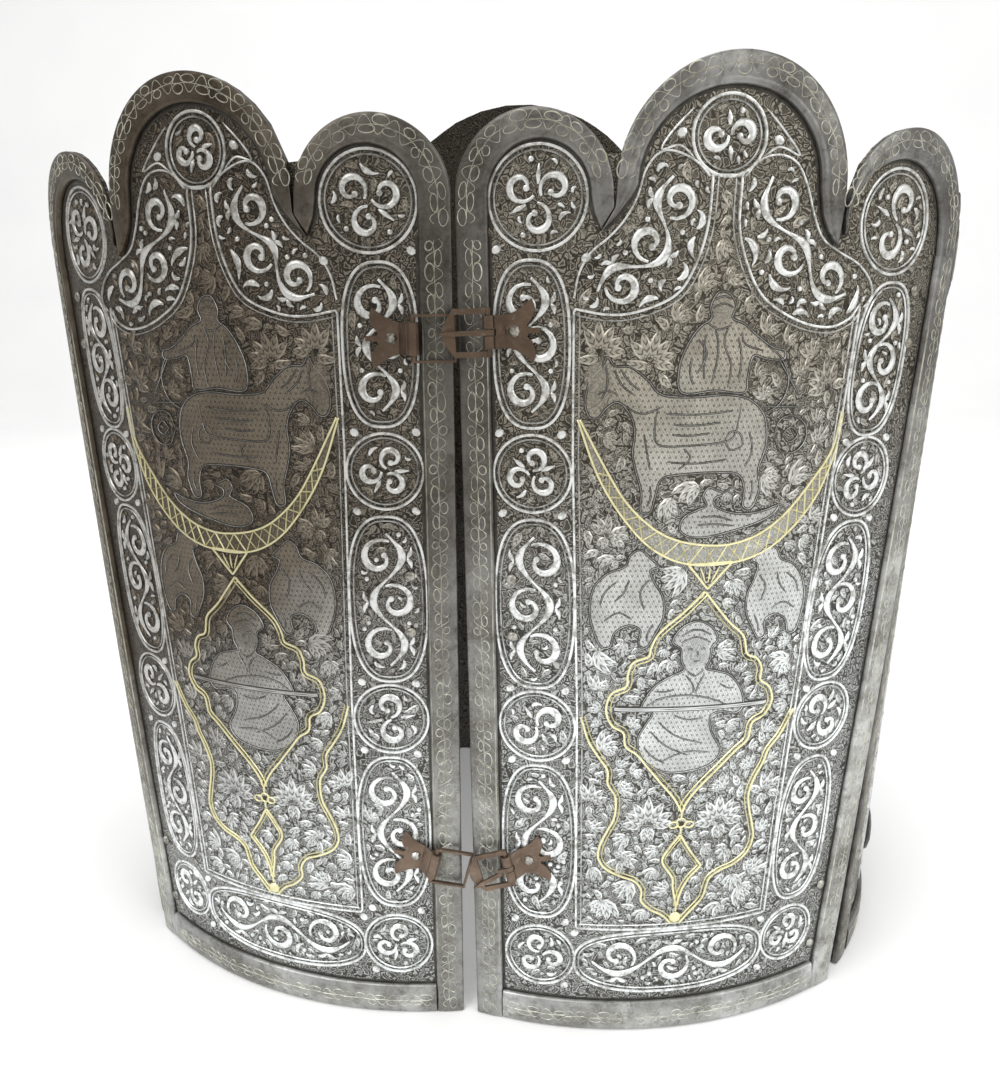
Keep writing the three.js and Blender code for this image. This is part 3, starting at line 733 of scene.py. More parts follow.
class Art:
    """The board of one panel with one relief for each finish."""

    def __init__(self, panel_name, low, high):
        self.panel = PANELS[panel_name]
        self.board = Board(low, high)
        self.silver, self.gold, self.leaves, self.dark = (Relief(self.panel) for _ in range(4))
        self.seat = 0.0

    def clear(self, path, reach):
        """Takes the ground along a path."""
        self.board.keep_clear(resample(path, step=CELL), reach)


SILVER_RISE = 0.62
LINE_WIDE = 1.15
LINE_THIN = 0.6
LINE_GAP = 1.75
FRAME_WIDE = 0.95
FRAME_THIN = 0.6
DOT_RISE = 0.7
GOLD_RISE = 0.5
FINE_GOLD_RISE = 0.4
GROUND_RISE = -0.35
CLEAR = 0.35
NEAR_CLEAR = CLEAR * 0.6
VINE_ROOM = 0.6


def double_line(art, path, closed=False, wide=LINE_WIDE, thin=LINE_THIN, gap=LINE_GAP):
    """A wide raised silver line with a thin one on its left."""
    path = resample(path, step=1.7)
    inner = path + normals(path) * gap
    if closed:
        inner[-1] = inner[0]
    art.silver.stroke(path, wide, SILVER_RISE * 0.8, closed=closed)
    art.silver.stroke(inner, thin, SILVER_RISE * 0.6, RIDGE, closed=closed)
    art.clear(path, wide / 2 + CLEAR)
    art.clear(inner, thin / 2 + CLEAR)


def swelling(count, low, high, end):
    """Widths that swell from low to high and run out to end."""
    t = np.linspace(0, 1, count)
    return np.where(t < 0.4, lerp(low, high, t / 0.4), lerp(high, end, (t - 0.4) / 0.6))


def silver_stroke(art, path, widths):
    art.silver.stroke(path, widths, SILVER_RISE)
    art.clear(path, float(np.max(widths)) / 2 + NEAR_CLEAR)


def silver_dot(art, centre, radius, stretch=1.0, tilt=0.0):
    art.silver.dot(centre, radius, DOT_RISE, stretch=stretch, tilt=tilt)
    art.board.keep_clear(np.array([centre]), radius * max(stretch, 1) + NEAR_CLEAR)


def vine(art, spine, reach, rng):
    """A waving silver stem with a curl in the hollow of each wave, drops on its crests and dots between."""
    spine = resample(spine, step=1.2)
    side = normals(spine)
    count = len(spine)
    waves = max(2, round(1.2 * count / (reach * 1.55)))
    t = np.linspace(0, 1, count)
    phase = rng.integers(0, 2) * np.pi
    wave = np.sin(t * waves * np.pi + phase)
    stem = spine + side * (wave * reach * 0.46)[:, None]
    silver_stroke(art, stem, 1.0 + 2.0 * np.abs(wave) ** 2 * np.clip(np.minimum(t, 1 - t) * 9, 0.2, 1))
    for k in range(waves):
        i = int((k + 0.5) / waves * (count - 1))
        hand = 1 if wave[i] > 0 else -1
        centre = spine[i] - side[i] * hand * reach * 0.22
        spoke = stem[i] - centre
        angle = math.atan2(spoke[1], spoke[0])
        curl = spiral(centre, angle, float(np.hypot(*spoke)), 0.95 + 0.35 * rng.random(), -hand, 0.74)
        silver_stroke(art, curl[3:], swelling(len(curl) - 3, 0.9, 3.0, 1.2))
        silver_dot(art, curl[-1], 1.3)
        drop = stem[i] + side[i] * hand * reach * 0.16
        along = math.atan2(*(spine[min(i + 1, count - 1)] - spine[max(i - 1, 0)])[::-1])
        for turn in (0.35, math.pi - 0.35):
            tip = drop + heading(along + turn * hand) * reach * 0.36
            line = smooth([drop, (drop + tip) / 2 + side[i] * hand * 0.5, tip], steps=5)
            silver_stroke(art, line, swelling(len(line), 0.8, 2.0, 0.4))
    for k in range(waves + 1):
        i = min(int(k / waves * (count - 1)), count - 1)
        for hand in (1, -1):
            place = spine[i] + side[i] * hand * reach * 0.62
            if art.board.is_free(np.array([place])) and 0 < k < waves:
                silver_dot(art, place, 0.95)


def whorl(art, centre, radius, folds, rng):
    """Curls that turn round the middle of a roundel."""
    centre = np.array(centre, float)
    start = rng.random() * 2 * np.pi
    hand = 1 if rng.random() < 0.5 else -1
    for k in range(folds):
        angle = start + k * 2 * np.pi / folds
        hub = centre + radius * 0.46 * heading(angle)
        curl = spiral(hub, angle + math.pi, radius * (0.42 if folds == 2 else 0.36), 0.95, hand, 0.62, 20)
        silver_stroke(art, curl, swelling(len(curl), 0.9, 3.2 if folds == 2 else 2.6, 1.1))
        silver_dot(art, curl[-1], 1.2)
        between = angle + math.pi / folds
        line = resample([centre + radius * share * heading(between) for share in (0.3, 0.74)], count=6)
        if art.board.is_free(line, 0.8):
            silver_stroke(art, line, swelling(6, 0.7, 1.9, 0.4))


def flourish(art, outline, rng, crowd=1.0, bold=1.0):
    """Curved silver strokes, commas and dots in what is left free of an outline."""
    t = np.linspace(0, 1, 10)
    strokes = ((11.0, 2.6 * bold, 90), (7.5, 2.3 * bold, 110), (4.8, 1.9 * bold, 100), (2.8, 1.4, 60))
    for length, wide, tries in strokes:
        for place in art.board.spots(rng, int(tries * crowd), outline):
            turn = rng.random() * 2 * np.pi + rng.choice((-1, 1)) * rng.uniform(1.0, 2.6) * t
            path = bow(place, turn, length)
            side = normals(path) * wide * 0.62
            if art.board.is_free(np.vstack([path, path + side, path - side])):
                silver_stroke(art, path, swelling(10, 0.7, wide, 0.4))
    for place in art.board.spots(rng, int(50 * crowd), outline):
        if art.board.is_free(circle(place, 1.5, 10)):
            silver_dot(art, place, 1.0)


def sink_ground(art, outline):
    art.board.shape(outline, GROUND_RISE, 0.0)
    art.board.open(outline)


def vine_oval(art, outline, spine, reach, rng):
    """A double-lined outline that holds a silver vine."""
    sink_ground(art, outline)
    double_line(art, outline, closed=True)
    vine(art, spine, reach - LINE_GAP - VINE_ROOM, rng)
    flourish(art, outline, rng)


def cartouche(art, centre, half_width, half_height, lean, rng):
    """An upright or a lying oval."""
    s, z = centre
    if half_height >= half_width:
        spine = [(s + lean * e * half_height * 0.8, z + e * half_height * 0.8) for e in (-1, 1)]
    else:
        spine = [(s + e * half_width * 0.82, z) for e in (-1, 1)]
    outline = oval(centre, half_width, half_height, lean)
    vine_oval(art, outline, spine, min(half_width, half_height), rng)


def tilted_cartouche(art, centre, half_width, half_length, angle, rng):
    """An oval that lies along a direction."""
    c, s = heading(angle)
    outline = oval((0, 0), half_length, half_width) @ np.array([[c, s], [-s, c]]) + centre
    ahead = heading(angle) * half_length * 0.82
    vine_oval(art, outline, [centre - ahead, centre + ahead], half_width, rng)


def roundel(art, centre, radius, rng):
    """A double-lined circle that holds a whorl."""
    outline = circle(centre, radius)
    sink_ground(art, outline)
    double_line(art, outline, closed=True)
    whorl(art, centre, radius - LINE_GAP - 0.4, int(rng.integers(2, 4)), rng)
    flourish(art, outline, rng, 0.6)


# Foliage

LEAF_RISE = 0.42
PETAL_RISE = 0.5
LEAF_LENGTHS = (7.0, 5.2, 3.9, 2.9, 2.1)


def flow(place, seed):
    """A slow swirl of directions over a plate."""
    s, z = place
    return 1.3 * math.sin(s / 19 + seed) + 1.6 * math.cos(z / 26 + 1.7 * seed) + 0.8 * math.sin((s + z) / 14)


def try_leaf(art, root, angle, length, width, bend, share, height=LEAF_RISE):
    """Adds a leaf if its place is free."""
    path = leaf_line(PROBE_MARKS, root, angle, length, bend)
    side = normals(path) * PROBE_SHAPE[:, None] * width / 2
    if art.board.is_free(np.vstack([path, path + side, path - side]), share):
        art.leaves.leaf(root, angle, length, width, bend, height, art.seat)
        art.clear(path[:4], width / 2)


def spray(art, root, angle, length, rng):
    """A bent twig with leaves on both sides."""
    bend = rng.uniform(-1.9, 1.9)
    t = np.linspace(0, 1, 9)
    turn = angle + bend * t
    stem = bow(root, turn, length)
    if not art.board.is_free(stem, 0.9):
        return
    art.leaves.stroke(stem, 0.55, 0.3, RIDGE, art.seat, ends=0.2)
    art.clear(stem, 0.45)
    size = length * 0.44
    for i in range(1, 8, 2):
        for hand in (1, -1):
            lean = turn[i] + hand * rng.uniform(0.6, 0.95)
            start = stem[i] + 0.5 * heading(lean)
            try_leaf(art, start, lean, size * rng.uniform(0.8, 1.1), size * 0.46, -hand * 0.6, 0.72)
    try_leaf(art, stem[-1], turn[-1], size * 1.15, size * 0.55, 0.3, 0.7)


def flower(art, root, angle, size, petals, spread):
    """An open flower seen from the side: long petals over a low cup."""
    for k in range(petals):
        share = k / (petals - 1) - 0.5
        lean = angle + share * spread
        reach = size * (1.0 - 0.5 * abs(share))
        start = np.array(root) + 0.16 * size * heading(lean)
        try_leaf(art, start, lean, reach * 0.84, size * 0.37, 0.9 * share, 0.4, PETAL_RISE)
    for hand in (1, -1):
        lean = angle + hand * 2.0
        try_leaf(art, root, lean, size * 0.7, size * 0.34, hand * -1.0, 0.5)
        try_leaf(art, root, lean + hand * 0.7, size * 0.5, size * 0.28, hand * 0.8, 0.5)


def palmette(art, root, angle, size, hand):
    """A curled half leaf: lobes fan from one root, each bent back over the next."""
    for k in range(5):
        lean = angle + hand * (0.42 * k - 0.6)
        reach = size * (1.0 - 0.13 * k)
        try_leaf(art, root, lean, reach, size * 0.36, hand * 1.1, 0.42, PETAL_RISE)
    try_leaf(art, root, angle + hand * 3.4, size * 0.5, size * 0.24, hand * -1.2, 0.42)


def roomy(art, place, ring, core, share):
    """Whether a wide ring and a narrow one round a place lie on free enough ground."""
    rings = ((circle(place, ring, 16), share), (circle(place, core, 8), 0.85))
    return all(art.board.is_free(points, wanted) for points, wanted in rings)


def grow(art, outline, rng, seed, sprays, leaves, largest, fine):
    """Fills the free ground inside an outline with flowers and sprays, then with ever smaller leaves."""
    for share in (0.8, 0.62, 0.48, 0.36):
        for place in art.board.spots(rng, sprays, outline):
            size = largest * share * rng.uniform(0.9, 1.1)
            angle = flow(place, seed) + rng.uniform(-0.8, 0.8)
            middle = place + 0.45 * size * heading(angle)
            if roomy(art, middle, size * 0.5, size * 0.2, 0.76):
                palmette(art, place, angle, size, 1 if rng.random() < 0.5 else -1)
    for share in (0.5, 0.36):
        for place in art.board.spots(rng, sprays, outline):
            size = largest * share * rng.uniform(0.9, 1.1)
            if roomy(art, place, size * 0.7, size * 0.3, 0.8):
                angle = flow(place, seed) + rng.uniform(-1, 1)
                flower(art, place, angle, size, int(rng.integers(5, 8)), 3.0)
    for place in art.board.spots(rng, sprays, outline):
        spray(art, place, flow(place, seed) + rng.uniform(-0.7, 0.7), largest * rng.uniform(0.5, 0.8), rng)
    for length in LEAF_LENGTHS:
        length *= fine
        for place in art.board.spots(rng, leaves, outline):
            angle = flow(place, seed) + rng.uniform(-1.3, 1.3)
            try_leaf(art, place, angle, length, length * 0.5, rng.uniform(-1.5, 1.5), 0.84)


# Rims

SCROLL_END = 1.6
SCROLL_PITCH = 4.9
SCROLL_LINE = 0.46


def loop_chain(length, turns, half_width):
    """An uneven line of loops to alternate sides: distances along and across."""
    t = np.linspace(0, turns, turns * 14)
    loops = (0.74 + 0.12 * np.sin(0.83 * t)) * np.sin(2 * np.pi * t)
    loops = loops + 0.15 * np.sin(1.9 * t) + 0.1 * np.sin(4.3 * t + 1)
    wave = np.sin(np.pi * t) - 0.3 * np.sin(3 * np.pi * t)
    return (t + loops) / turns * length, half_width * wave / 1.3 * (0.86 + 0.14 * np.sin(2.3 * t + 0.5))


def along_path(path, distance, across):
    """Places beside a path, at distances along it and across it."""
    run = run_along(path)
    side = normals(path)
    s = np.interp(distance, run, path[:, 0]) + np.interp(distance, run, side[:, 0]) * across
    z = np.interp(distance, run, path[:, 1]) + np.interp(distance, run, side[:, 1]) * across
    return np.stack([s, z], 1)


RIM_PROFILE = (
    (0.0, 0.0), (0.0, 0.55), (0.035, 0.76), (0.09, 0.86), (0.2, 0.9), (0.235, 0.86), (0.27, 0.97),
    (0.5, 1.0), (0.86, 0.985), (0.95, 0.93), (0.985, 0.8), (1.0, 0.55), (1.0, 0.0),
)


def rim_band(name, panel_name, inner, outer, count, *nodes):
    """A rim between two contours, stepped on its inner edge and rounded on its outer one."""
    relief = Relief(PANELS[panel_name])
    inner, outer = resample(inner, count=count), resample(outer, count=count)
    across = np.array([a for a, _ in RIM_PROFILE])
    lift = np.array([b for _, b in RIM_PROFILE])
    s = inner[:, :1] + (outer[:, :1] - inner[:, :1]) * across
    z = inner[:, 1:] + (outer[:, 1:] - inner[:, 1:]) * across
    thick = sizes().rim_thickness / MM - (BACK_RIM_DROP if panel_name == "back" else 0)
    h = np.broadcast_to(RIM_SEAT + lift * thick, s.shape)
    along, inward = outer[-1] - outer[0], (inner - outer).mean(0)
    if along[0] * inward[1] - along[1] * inward[0] > 0:
        s, z, h = s[:, ::-1], z[:, ::-1], h[:, ::-1]
    relief.loft(s, z, h)
    relief.build(name, "rim_finish", "rim_steel", 55.0, nodes)


def rim_scroll(relief, path, half_width, thick):
    """The fine silver loops on a rim, crossed by a waving line."""
    path = resample(path, step=1.5)
    length = float(np.linalg.norm(np.diff(path, axis=0), axis=1).sum()) - 2 * SCROLL_END
    seat = RIM_SEAT + thick - EDGE_GAP
    turns = max(2, round(length / SCROLL_PITCH / 2) * 2)
    along, across = loop_chain(length, turns, half_width)
    relief.stroke(along_path(path, along + SCROLL_END, across), 0.52, 0.16, RIDGE, seat)
    t = np.linspace(0, turns, turns * 6)
    wave = along_path(path, SCROLL_END + t / turns * length, -half_width * 0.85 * np.sin(np.pi * t))
    relief.stroke(wave, 0.42, 0.13, RIDGE, seat)


# The front plates' drawing, in their own flat, right plate first; the left one is its mirror image

FRONT_LOBES = ((-2.6, 50.7, 335.8, 26.7), (51.5, 131.3, 338.1, 39.9), (132.1, 196.0, 326.5, 32.0))
FRONT_SLITS = ((51.1, 331.5), (131.7, 334.0))

COLUMN_OVALS = (
    {"centre": (23.6, 287.0), "half": (13.4, 28.5), "lean": -0.008},
    {"centre": (25.0, 191.5), "half": (15.0, 33.5), "lean": -0.008},
    {"centre": (27.0, 89.0), "half": (15.0, 35.5), "lean": -0.008},
    {"centre": (83.0, 33.0), "half": (41.0, 15.3), "lean": 0.0},
    {"centre": (141.2, 86.0), "half": (13.6, 33.5), "lean": 0.06},
    {"centre": (148.2, 186.5), "half": (15.0, 32.5), "lean": 0.09},
    {"centre": (157.2, 279.5), "half": (14.0, 27.5), "lean": 0.098},
)
ROUNDELS = (
    {"centre": (25.6, 335.0), "radius": 16.6},
    {"centre": (24.0, 242.0), "radius": 14.2},
    {"centre": (26.0, 141.6), "radius": 14.9},
    {"centre": (27.5, 34.3), "radius": 14.6},
    {"centre": (137.5, 35.0), "radius": 13.4},
    {"centre": (146.0, 137.5), "radius": 14.6},
    {"centre": (154.0, 236.0), "radius": 15.2},
    {"centre": (158.5, 327.5), "radius": 17.8},
    {"centre": (88.0, 353.2), "radius": 12.4},
)
STUDS = (
    (11.5, 319), (42, 316), (34.5, 256.5), (12, 256.5), (35, 227), (13, 227), (37, 157.5), (15.5, 157),
    (37.5, 127.5), (16, 126), (38, 52), (17, 51), (42, 47), (38, 20), (123.5, 46), (123.5, 21),
    (134.5, 121.5), (155, 118), (136, 151.5), (141.5, 221.5), (161, 219), (144, 250), (166, 250),
    (72, 354), (105, 352),
)
FIELD_FRAME = (
    (83, 341), (82, 325), (78, 312), (72, 303.5), (60, 298.5), (50, 297.5), (38.2, 299.5), (38.5, 250),
    (40, 200), (41.5, 150), (42, 100), (42.5, 49.5), (124.5, 49.5), (127.5, 100), (131.5, 150),
    (135.5, 200), (139.5, 250), (144, 300), (140, 295), (132, 292.2), (122, 293.2), (112, 297), (103, 303),
    (97, 312.5), (93, 325), (93, 341),
)
FIELD_CAP = ((82.4, 341.3), (93.6, 341.3))
SHOULDERS = (
    {"edge": ((82, 341), (77, 345.5), (70, 348.5), (65, 348), (60.8, 343), (58.4, 335), (54.6, 328),
              (49.5, 322.4), (43.6, 317.6), (39.8, 311), (38.2, 303)),
     "spine": ((70, 341), (69, 330), (65, 320), (57, 311), (46, 305)), "reach": 10.0},
    {"edge": ((94, 341), (99, 346), (106, 347.6), (112.5, 345), (117, 338), (120.5, 329), (125, 321.5),
              (133, 317), (141, 313.5), (147, 308.5), (149.5, 303), (146, 298.5)),
     "spine": ((104, 341), (107, 330), (113, 318), (123, 309), (137, 303.5)), "reach": 10.4},
)
SPANDRELS = (
    ((75.8, 361.5), (69, 354.5), (65.6, 349), (71.5, 350.2), (76.5, 346.4)),
    ((99.6, 361.5), (106.5, 355), (113, 347.6), (105.5, 350), (99.6, 346.8)),
)
CRESCENT_OUTER = (
    (40, 262), (47, 243), (55, 229), (65, 217), (75, 210.5), (85, 208), (95, 208), (105, 209.5), (115, 214),
    (125, 222.5), (133, 233), (139, 248), (141, 262),
)
CRESCENT_INNER = (
    (40.6, 262), (50, 243.5), (58, 230.8), (68, 221), (78, 216), (90, 214), (100, 214.6), (110, 218),
    (120, 225.2), (130, 236.5), (137.6, 248), (140.4, 262),
)
PENDANT = ((81.5, 208.3), (98.5, 208.6), (89.2, 198.5))
MEDALLION_LEFT = (
    (88.5, 197.5), (81, 190), (72, 182), (69, 176), (68, 172.3), (62.5, 170), (60.5, 165), (60, 160),
    (54.5, 157), (52.6, 150), (55, 143.5), (59.5, 140.5), (60.5, 134.5), (65, 131), (68.5, 126.5),
    (75, 118), (80.5, 111), (84.2, 104),
)
MEDALLION_RIGHT = (
    (88.5, 197.5), (98, 185.5), (105, 178.5), (107, 171), (111.5, 168.5), (113.8, 164), (113.6, 159.3),
    (118, 155.5), (119.6, 149.5), (116.5, 143.8), (111.5, 141), (110, 134), (105, 129.6), (98, 122.6),
    (91, 115.5), (86, 109), (84.2, 104),
)
LOZENGE = (
    (84, 94), (80, 88.5), (77, 82), (81.5, 74), (82, 69), (83.8, 59.5), (85.5, 67), (88.5, 73),
    (93.5, 78.5), (89.5, 84.5), (87, 88.5), (84, 94),
)
TASSEL = ((81, 98.6), (84.1, 99.4), (87.4, 98.4))
KNOB = (83.6, 54.4)
BRACKETS = (
    ((43, 147), (46, 137), (50, 130), (53.8, 124), (54, 118), (57.2, 112), (57, 103), (54, 96), (51.6, 90),
     (51, 84), (54, 79), (60, 75.6), (66, 73), (69, 68.4), (69, 63.4), (73, 59), (78, 56), (82, 51.5)),
    ((130.5, 144), (125, 134), (120, 128), (118, 122.5), (115, 117), (112.5, 110), (113, 103), (115, 95),
     (116, 88), (113.6, 81.4), (108, 77), (102, 75), (97.6, 72), (96, 67), (94.6, 62.4), (90, 57),
     (85.4, 51.5)),
)


FIGURE_RISE = 0.24
FIGURES = (
    {"name": "horse", "outline": (
        (44, 263), (42.5, 268), (44, 275), (48, 280), (50, 283.5), (52.5, 280.5), (58, 280), (64, 275.5),
        (69, 270.5), (80, 269.5), (92, 270), (101, 268), (107, 262), (108.5, 252), (106, 243), (107, 236),
        (104.5, 229), (101, 229.5), (101, 236), (98, 241.5), (88, 242.5), (76, 242), (70, 240.5),
        (68, 234), (66.5, 228.5), (63, 229), (63, 236),
        (61, 243), (59.5, 250), (60, 258), (58, 264), (54, 268), (50, 266), (47, 262.5)),
     "lines": (
        ((68, 267), (67, 260), (68.5, 253), (80, 252.5), (92, 253.5), (96, 256), (98, 268)),
        ((92, 253.5), (95, 250.5), (99, 252), (98, 256), (94.5, 257), (92, 253.5)),
        ((68.5, 264), (82, 263.4), (97, 264.5)), ((47.5, 276.5), (49.5, 275.5)),
        ((44.5, 267), (47.5, 267.5)), ((52, 280), (55, 274), (60, 270)), ((75, 243), (80, 248), (77, 252)),
        ((100, 243), (103, 250), (101, 258)), ((54, 280), (57.6, 275), (62, 271.6)),
        ((49.4, 281), (50, 274), (47.6, 268)), ((46, 270.4), (50, 272), (54, 270.6)),
        ((53, 268.6), (62, 264), (70, 266.6)), ((70, 247), (82, 246), (96, 247.4)),
        ((63, 258), (64.6, 250), (66, 243)), ((66, 239), (66.4, 234), (65, 230)),
        ((103.6, 240), (104.2, 235), (103, 231)), ((72, 256.5), (80, 256), (88, 257)),
        ((72, 260), (82, 259.6), (92, 260.6)))},
    {"name": "rider", "outline": (
        (76, 271), (74.5, 279), (77, 287), (81, 293), (85, 296), (84.5, 300), (87, 304.5), (91, 304),
        (93.5, 300), (92.5, 296), (97, 294), (102, 290), (108, 286), (113, 284.5), (112.5, 281.5),
        (106, 282), (101, 283), (99.5, 276), (98.5, 270.5),
        (88, 271.5)),
     "lines": (
        ((84.6, 299), (89, 300.8), (93.4, 299)), ((85.6, 302), (89, 303.2), (92.4, 302)),
        ((86.8, 298.2), (87.6, 298)), ((90.4, 298), (91.2, 298.2)), ((89, 297.8), (89.3, 296.9)),
        ((88, 296.1), (89.8, 296.1)), ((86, 295), (88, 285), (86, 272)),
        ((92, 295), (90, 288), (93, 280), (92, 271)), ((80, 290), (84, 284), (80, 276)),
        ((96, 292), (98, 287), (106, 284.5)), ((79, 284), (78.4, 278), (80, 273)),
        ((83.4, 292), (83, 284), (83.6, 274)),
        ((94.6, 291), (96.6, 283), (96, 274)), ((82, 296), (86, 293), (89, 292.4), (93, 294)))},
    {"name": "bird", "outline": (
        (77.5, 222), (79, 226.5), (84, 229), (87, 230.5), (85.5, 234), (87.5, 237), (90.5, 236),
        (93.5, 234.5), (90, 233), (90.5, 230), (96, 227.5), (103, 226.6), (110, 227.5), (115.5, 229),
        (113, 225.5), (106, 222.6), (97, 220.3), (88, 218.6),
        (81, 219)),
     "lines": (
        ((84, 226), (91, 226.2), (98, 224)), ((83, 223.2), (90, 223.4), (99, 222.2)),
        ((88, 235.2), (88.6, 235.2)),
        ((99, 225.4), (108, 225.8)))},
    {"name": "left_deer", "outline": (
        (47, 183), (45.5, 191), (47, 200), (52, 205.5), (58, 208), (60, 212.5), (63.5, 214.5), (67, 211.5),
        (70.5, 208), (67.5, 206.5), (69, 202), (72.5, 196), (73, 188), (70, 181), (67, 176), (64, 177.5),
        (64.5, 183), (60, 185), (55, 182), (53.5, 176.5),
        (50, 176.5)),
     "lines": (
        ((50, 186), (56, 190), (62, 187)), ((68, 204), (64, 198), (66, 190)),
        ((63.8, 210.4), (64.6, 210.2)), ((49, 192), (51, 198), (56, 203)),
        ((54, 194), (58, 198), (60, 204)), ((69.6, 186), (67.4, 182), (67, 178)),
        ((61, 214), (58.5, 217.5)))},
    {"name": "right_deer", "outline": (
        (129.5, 184), (130.5, 192), (128.5, 200), (124, 205.5), (118.5, 208), (116.5, 212), (113, 213.8),
        (109.8, 211.4), (106, 208.4), (108.8, 206.4), (107.6, 201), (105.2, 195), (105.4, 188),
        (108.4, 181.5), (111, 177), (114, 178), (113.6, 184), (118, 186),
        (122.6, 183), (124, 178), (127.4, 178)),
     "lines": (
        ((127, 187), (121, 190.6), (115, 188)), ((109, 203.4), (112.6, 198), (110.8, 191)),
        ((112.6, 209.8), (113.4, 210)), ((127.6, 193), (125.4, 199), (120.4, 203)),
        ((122, 194), (118.6, 198.4), (117, 204)), ((108.6, 187), (110.6, 182.6), (111, 179)),
        ((116, 213), (118.4, 216.6)))},
    {"name": "player", "outline": (
        (66, 150.5), (68, 156), (72, 161), (78, 164.4), (82, 166.4), (80.8, 170), (80.2, 175), (77, 178),
        (80, 183.4), (86, 186), (91.6, 183.6), (94.6, 178.4), (92.4, 175), (92, 170), (90.6, 166.4),
        (95, 165), (101, 162.4), (105.6, 156), (107, 149.6), (104, 146.4), (98, 147.6), (93.6, 146),
        (94.4, 139), (98.6, 131), (95, 125.2), (86, 122.8), (76, 123), (67.6, 128.4),
        (65, 137), (68, 144), (70.4, 148.6)),
     "lines": (
        ((79.2, 176.8), (86, 179.6), (93, 176.4)), ((79, 179.6), (86, 182.6), (93, 179.6)),
        ((82.8, 174.4), (84, 174.9), (85.2, 174.4)), ((87.8, 174.4), (89, 174.9), (90.2, 174.4)),
        ((86.6, 174.2), (87, 172.2), (86.3, 171.8)), ((85.2, 170.1), (86.6, 169.6), (88, 170.1)),
        ((82.6, 166.4), (86.4, 163.6), (90.2, 166.4)), ((82, 165), (85.6, 160), (86, 156)),
        ((90.6, 165), (88, 160), (86.6, 156)),
        ((66.6, 150.8), (74, 155), (85, 155.6), (96, 152.4), (104.4, 146.8)),
        ((70, 158), (75, 157.6), (79, 158.6)), ((96, 160), (99.6, 157.6), (103, 157.4)),
        ((68.6, 142.4), (76, 134.6), (87, 129)), ((71.4, 146.4), (80, 138.6), (93, 134)),
        ((73, 127), (84, 131.4), (95.4, 130.2)), ((78, 148), (84, 145.4), (92, 145.8)),
        ((67, 135), (71, 130), (77, 126.4)))},
)
PIPE = ((55.5, 150.6), (117.5, 149.4))
HELD_LINES = (
    ((105, 287), (112, 282), (115.5, 274), (112.5, 266), (104, 262)), ((107, 287.5), (122.5, 265.5)),
    ((103, 265.5), (125, 264.5)),
    ((111, 255), (113.5, 260.5), (119, 261.5), (124, 258), (124.5, 252.5), (120.5, 248.5), (114.5, 249),
     (111, 255)),
    ((114.6, 255), (118, 257.6), (121, 254.6), (118, 252.2), (114.6, 255)),
)
CLUSTERS = (
    (70.5, 98, 1.57, 14), (100, 97, 1.57, 14), (47, 108, 1.9, 11), (119.5, 108, 1.2, 11),
    (47, 284, 1.6, 12), (64, 281, 1.3, 12), (133, 270, 1.8, 12), (51, 219, 1.0, 10), (131, 220, 2.1, 9),
    (60, 84, -1.2, 9), (106, 86, -1.8, 9),
)
FACES = (((86.4, 173.6), 4.6, 6.2), ((89, 298.6), 3.6, 4.6), ((47, 273), 4.6, 9.0))


def chased_line(art, path, wide, seat, closed=False):
    """A dark line with a bright ridge on its middle."""
    ends = 0.0 if closed else 0.15
    art.dark.stroke(path, wide * 1.5, 0.1, FLAT, seat, closed, ends)
    art.silver.stroke(path, wide * 0.62, 0.27, RIDGE, seat, closed, ends)


def bent(line, steps, count):
    """A curve through points, or an even line between two."""
    return smooth(line, steps=steps) if len(line) > 2 else resample(line, count=count)


def draw_figures(art):
    """Low flat figures with chased outlines: a rider over a bird, two deer and a seated player."""
    for figure in FIGURES:
        curve = smooth(figure["outline"], closed=True, steps=5)
        art.board.shape(curve, FIGURE_RISE, 1.0)
        art.board.close(curve)
        art.clear(curve, 1.0)
        chased_line(art, curve, 0.72, FIGURE_RISE * 0.6, True)
        for line in figure["lines"]:
            chased_line(art, bent(line, 5, 3), 0.52, FIGURE_RISE - 0.02)
    for face in FACES:
        art.board.shape(oval(*face), FIGURE_RISE + 0.05, 0.55)
    for line in HELD_LINES:
        path = bent(line, 6, 4)
        chased_line(art, path, 0.6, FIGURE_RISE * 0.6)
        art.clear(path, 0.8)
    pipe = resample(PIPE, step=2.0)
    art.dark.stroke(pipe, 2.4, 0.16, FLAT, FIGURE_RISE - 0.05)
    art.leaves.stroke(pipe, 1.4, 0.36, FLAT, FIGURE_RISE - 0.05)
    art.clear(PIPE, 1.2)
    for s, z, angle, size in CLUSTERS:
        flower(art, (s, z), angle, size, 7, 2.7)
        flower(art, (s, z), angle, size * 0.6, 5, 2.0)


def crest_height(s, lobes, slits):
    """The height of a lobed crest above places along a plate."""
    marks = [arch(*lobes[0], count=90)]
    for slit, lobe in zip(slits, lobes[1:]):
        marks += [np.array([slit]), arch(*lobe, count=90)]
    line = np.vstack(marks)
    return np.interp(s, line[:, 0], line[:, 1])


def front_top(s):
    return crest_height(s, FRONT_LOBES, FRONT_SLITS)


def draw_border(art, rng):
    """Ovals and roundels round the edge, with studs between them."""
    for row in COLUMN_OVALS:
        cartouche(art, row["centre"], *row["half"], row["lean"], rng)
    for row in ROUNDELS:
        roundel(art, row["centre"], row["radius"], rng)
    for place in STUDS:
        silver_dot(art, place, 1.55, 1.25, 0.6 if place[0] < 88 else -0.6)


